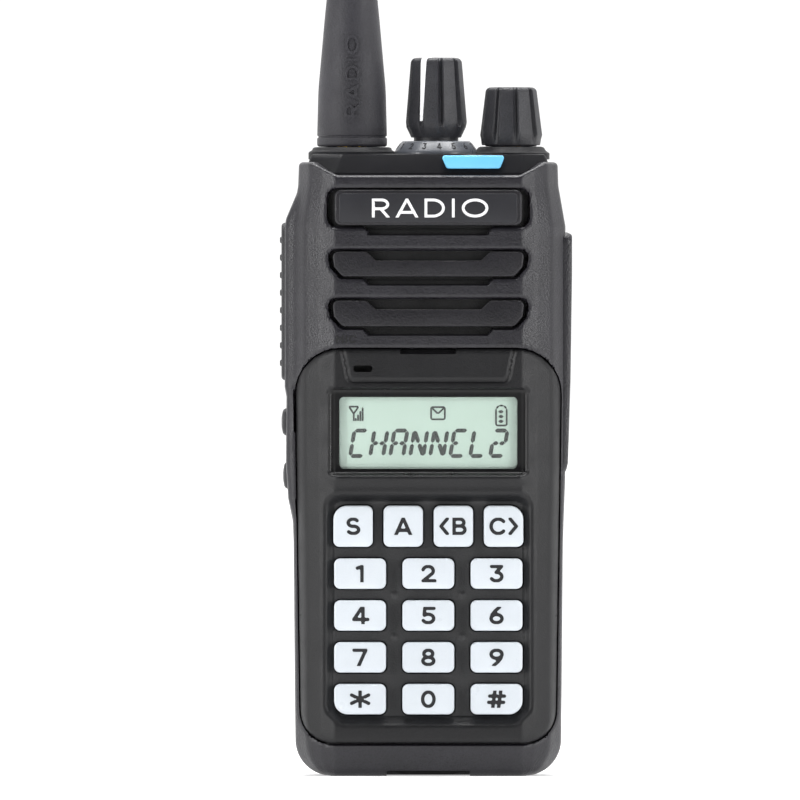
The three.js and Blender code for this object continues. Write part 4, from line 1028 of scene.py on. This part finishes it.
# ---- battery pack
def battery():
    """The pack's case, rounded at the back, with its tongues, grip ribs, label and name field."""
    half = BATTERY_HALF_WIDTH
    corners = mirrored((25.4, 0, 6.8), (half, 60, 0.05), (half, 88.0, 1.2))
    edge, wall = 3.4, 2.0
    # Seen from behind it starts on the inside, and its front rim closes the seam with the front case.
    levels = [(wall, 12.0), (wall, -0.05), (0.2, -0.05), (0.0, 0.25)]
    for k in range(7):
        t = math.pi / 2 * k / 6
        levels.append((edge * (1 - math.cos(t)), BATTERY_BACK - edge + edge * math.sin(t)))
    loft("battery_shell", [(outline(pull_in(corners, inset)), y) for inset, y in levels], BATTERY, view="front",
         body="battery", replaces=["battery_case"], slot="battery", crease=40)
    for word, side in SIDES:
        slab("battery_tongue_" + word, rounded(side * 9 - 2.6, side * 9 + 2.6, 86.5, 90.4, 0.4), 0.6, 2.4,
             BATTERY, body="battery", slot="battery")
        near, far = sorted((side * (half - 0.6), side * (half + 0.4)))
        for i in range(5):
            z = 62 + 4.5 * i
            slab("battery_rib_%s_%d" % (word, i + 1), rounded(3.2, 9.8, z - 0.8, z + 0.8, 0.7), near, far,
                 BATTERY, low_edge=0.3 if side < 0 else 0.05, high_edge=0.3 if side > 0 else 0.05,
                 view="side", body="battery", slot="battery")
    for name, corners in (("battery_sticker", rounded(-20, 20, 23, 60, 1.2)),
                          ("battery_plate", rounded(-19, 19, 5.4, 15.0, 1.2))):
        slab(name, corners, BATTERY_BACK - 0.4, BATTERY_BACK + 0.1, LABEL, body="battery", low_edge=0.05)
    for name, text, height, x, z in (("battery_title", "BATTERY PACK", 2.5, 0, 10.2),
                                     ("battery_voltage", "7.4 V", 1.9, 14.7, 54.5),
                                     ("battery_kind", "LI-ION", 1.7, -14.7, 54.5)):

        def behind(u, v, depth, x=x, z=z):
            """On the back face, read from behind."""
            return np.column_stack([x - u, np.full(len(u), BATTERY_BACK + 0.09 + depth), z + v])

        lettering(name, text, height, 0, 0, 0, WHITE_INK, body="battery", depth=0.05, stretch=1.1, place=behind)


# ---- carried-over CAD nodes
def carried_nodes():
    for name, mat in CAD_LOOKS.items():
        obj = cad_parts[name]
        if not obj.material_slots:
            obj.data.materials.append(mat)
        for slot in obj.material_slots:
            slot.link = "OBJECT"
            slot.material = mat
        if name in SOFT_EDGES:
            bevel = obj.modifiers.new("edge", "BEVEL")
            bevel.width = SOFT_EDGES[name] * MM
            bevel.segments = 3
            bevel.limit_method = "ANGLE"
            bevel.angle_limit = math.radians(35)
            bevel.harden_normals = True


# ---- studio
def area_light(name, place, target, size, size_y, watts):
    data = bpy.data.lights.new(name, "AREA")
    data.shape = "RECTANGLE"
    data.size, data.size_y = size, size_y
    data.energy = watts
    obj = bpy.data.objects.new(name, data)
    bpy.context.scene.collection.objects.link(obj)
    obj.location = place
    obj.rotation_euler = (Vector(target) - Vector(place)).to_track_quat("-Z", "Y").to_euler()


def studio():
    scene = bpy.context.scene
    scene.view_settings.view_transform = "Standard"
    world = bpy.data.worlds.new("studio")
    world.use_nodes = True
    # White behind and beside the object and dim in front of it, as in a light tent open towards the lens.
    tree = world.node_tree
    direction = tree.nodes.new("ShaderNodeTexCoord").outputs["Generated"]
    parts = add_node(tree, "SeparateXYZ", {}, {"Vector": direction})
    front_ambient = 0.06
    strength = ramp(tree, parts.outputs["Y"], -0.45, -0.05, front_ambient, 1.1)
    tree.nodes["Background"].inputs["Color"].default_value = (1, 1, 1, 1)
    tree.links.new(strength, tree.nodes["Background"].inputs["Strength"])
    scene.world = world
    # A wide pale floor.
    stations = [-40.0, -2.0, -0.6, -0.2, 0.2, 0.6, 2.0, 40.0]
    points = [(x, y, 0.0) for y in stations for x in stations]
    count = len(stations)
    faces = [(i * count + j, i * count + j + 1, (i + 1) * count + j + 1, (i + 1) * count + j)
             for i in range(count - 1) for j in range(count - 1)]
    mesh = bpy.data.meshes.new("floor")
    mesh.from_pydata(points, [], faces)
    mesh.polygons.foreach_set("use_smooth", [True] * len(faces))
    floor = bpy.data.objects.new("floor", mesh)
    scene.collection.objects.link(floor)
    # Lit through from below, less so just in front of the object.
    paper = surface("paper", (200, 200, 200), 0.9, grain=0.02, mottle=0.005, grain_mm=2)
    glow(paper, (255, 255, 255), 1.0)
    tree = paper.node_tree
    coords = tree.nodes["Texture Coordinate"].outputs["Object"]
    away = add_node(tree, "VectorMath", {1: (0.0, -0.3, 0.0)}, {0: coords}, operation="DISTANCE")
    parts = add_node(tree, "SeparateXYZ", {}, {"Vector": coords})
    near = ramp(tree, away.outputs["Value"], 0.15, 0.6, 0.3, 0.85)
    front = ramp(tree, parts.outputs["Y"], -1.2, -0.4, 0.45, 1.0)
    lit = add_node(tree, "Math", {}, {0: near, 1: front}, operation="MULTIPLY")
    tree.links.new(lit.outputs["Value"], tree.nodes["Principled BSDF"].inputs["Emission Strength"])
    mesh.materials.append(paper)
    target = (0, 0, 0.08)
    area_light("strip_left", (-0.56, -0.42, 0.2), target, 0.1, 0.55, 3.0)
    area_light("strip_right", (0.56, -0.42, 0.2), target, 0.1, 0.55, 2.7)
    area_light("top", (0.0, 0.02, 0.8), (0, 0, 0.1), 0.7, 0.32, 9.0)
    area_light("rear", (0.0, 0.5, 0.7), (0, 0, 0.1), 0.9, 0.2, 2.5)


def camera():
    """Straight at the front from far off, centred a little left of the radio's middle."""
    distance, across, sensor = 5.0, 0.1571, 36
    data = bpy.data.cameras.new("camera")
    data.sensor_width = sensor
    data.lens = sensor * distance / across
    data.clip_end = 50
    obj = bpy.data.objects.new("camera", data)
    bpy.context.scene.collection.objects.link(obj)
    obj.location = (-0.00556, FRONT * MM - distance, 0.0739)
    obj.rotation_euler = (math.radians(90), 0, 0)
    bpy.context.scene.camera = obj


camera()
studio()
carried_nodes()
front_case()
base_plates()
front_panel()
keys()
display()
grille()
top_cover()
dial()
knobs()
antenna()
left_buttons()
jack_cover()
battery()
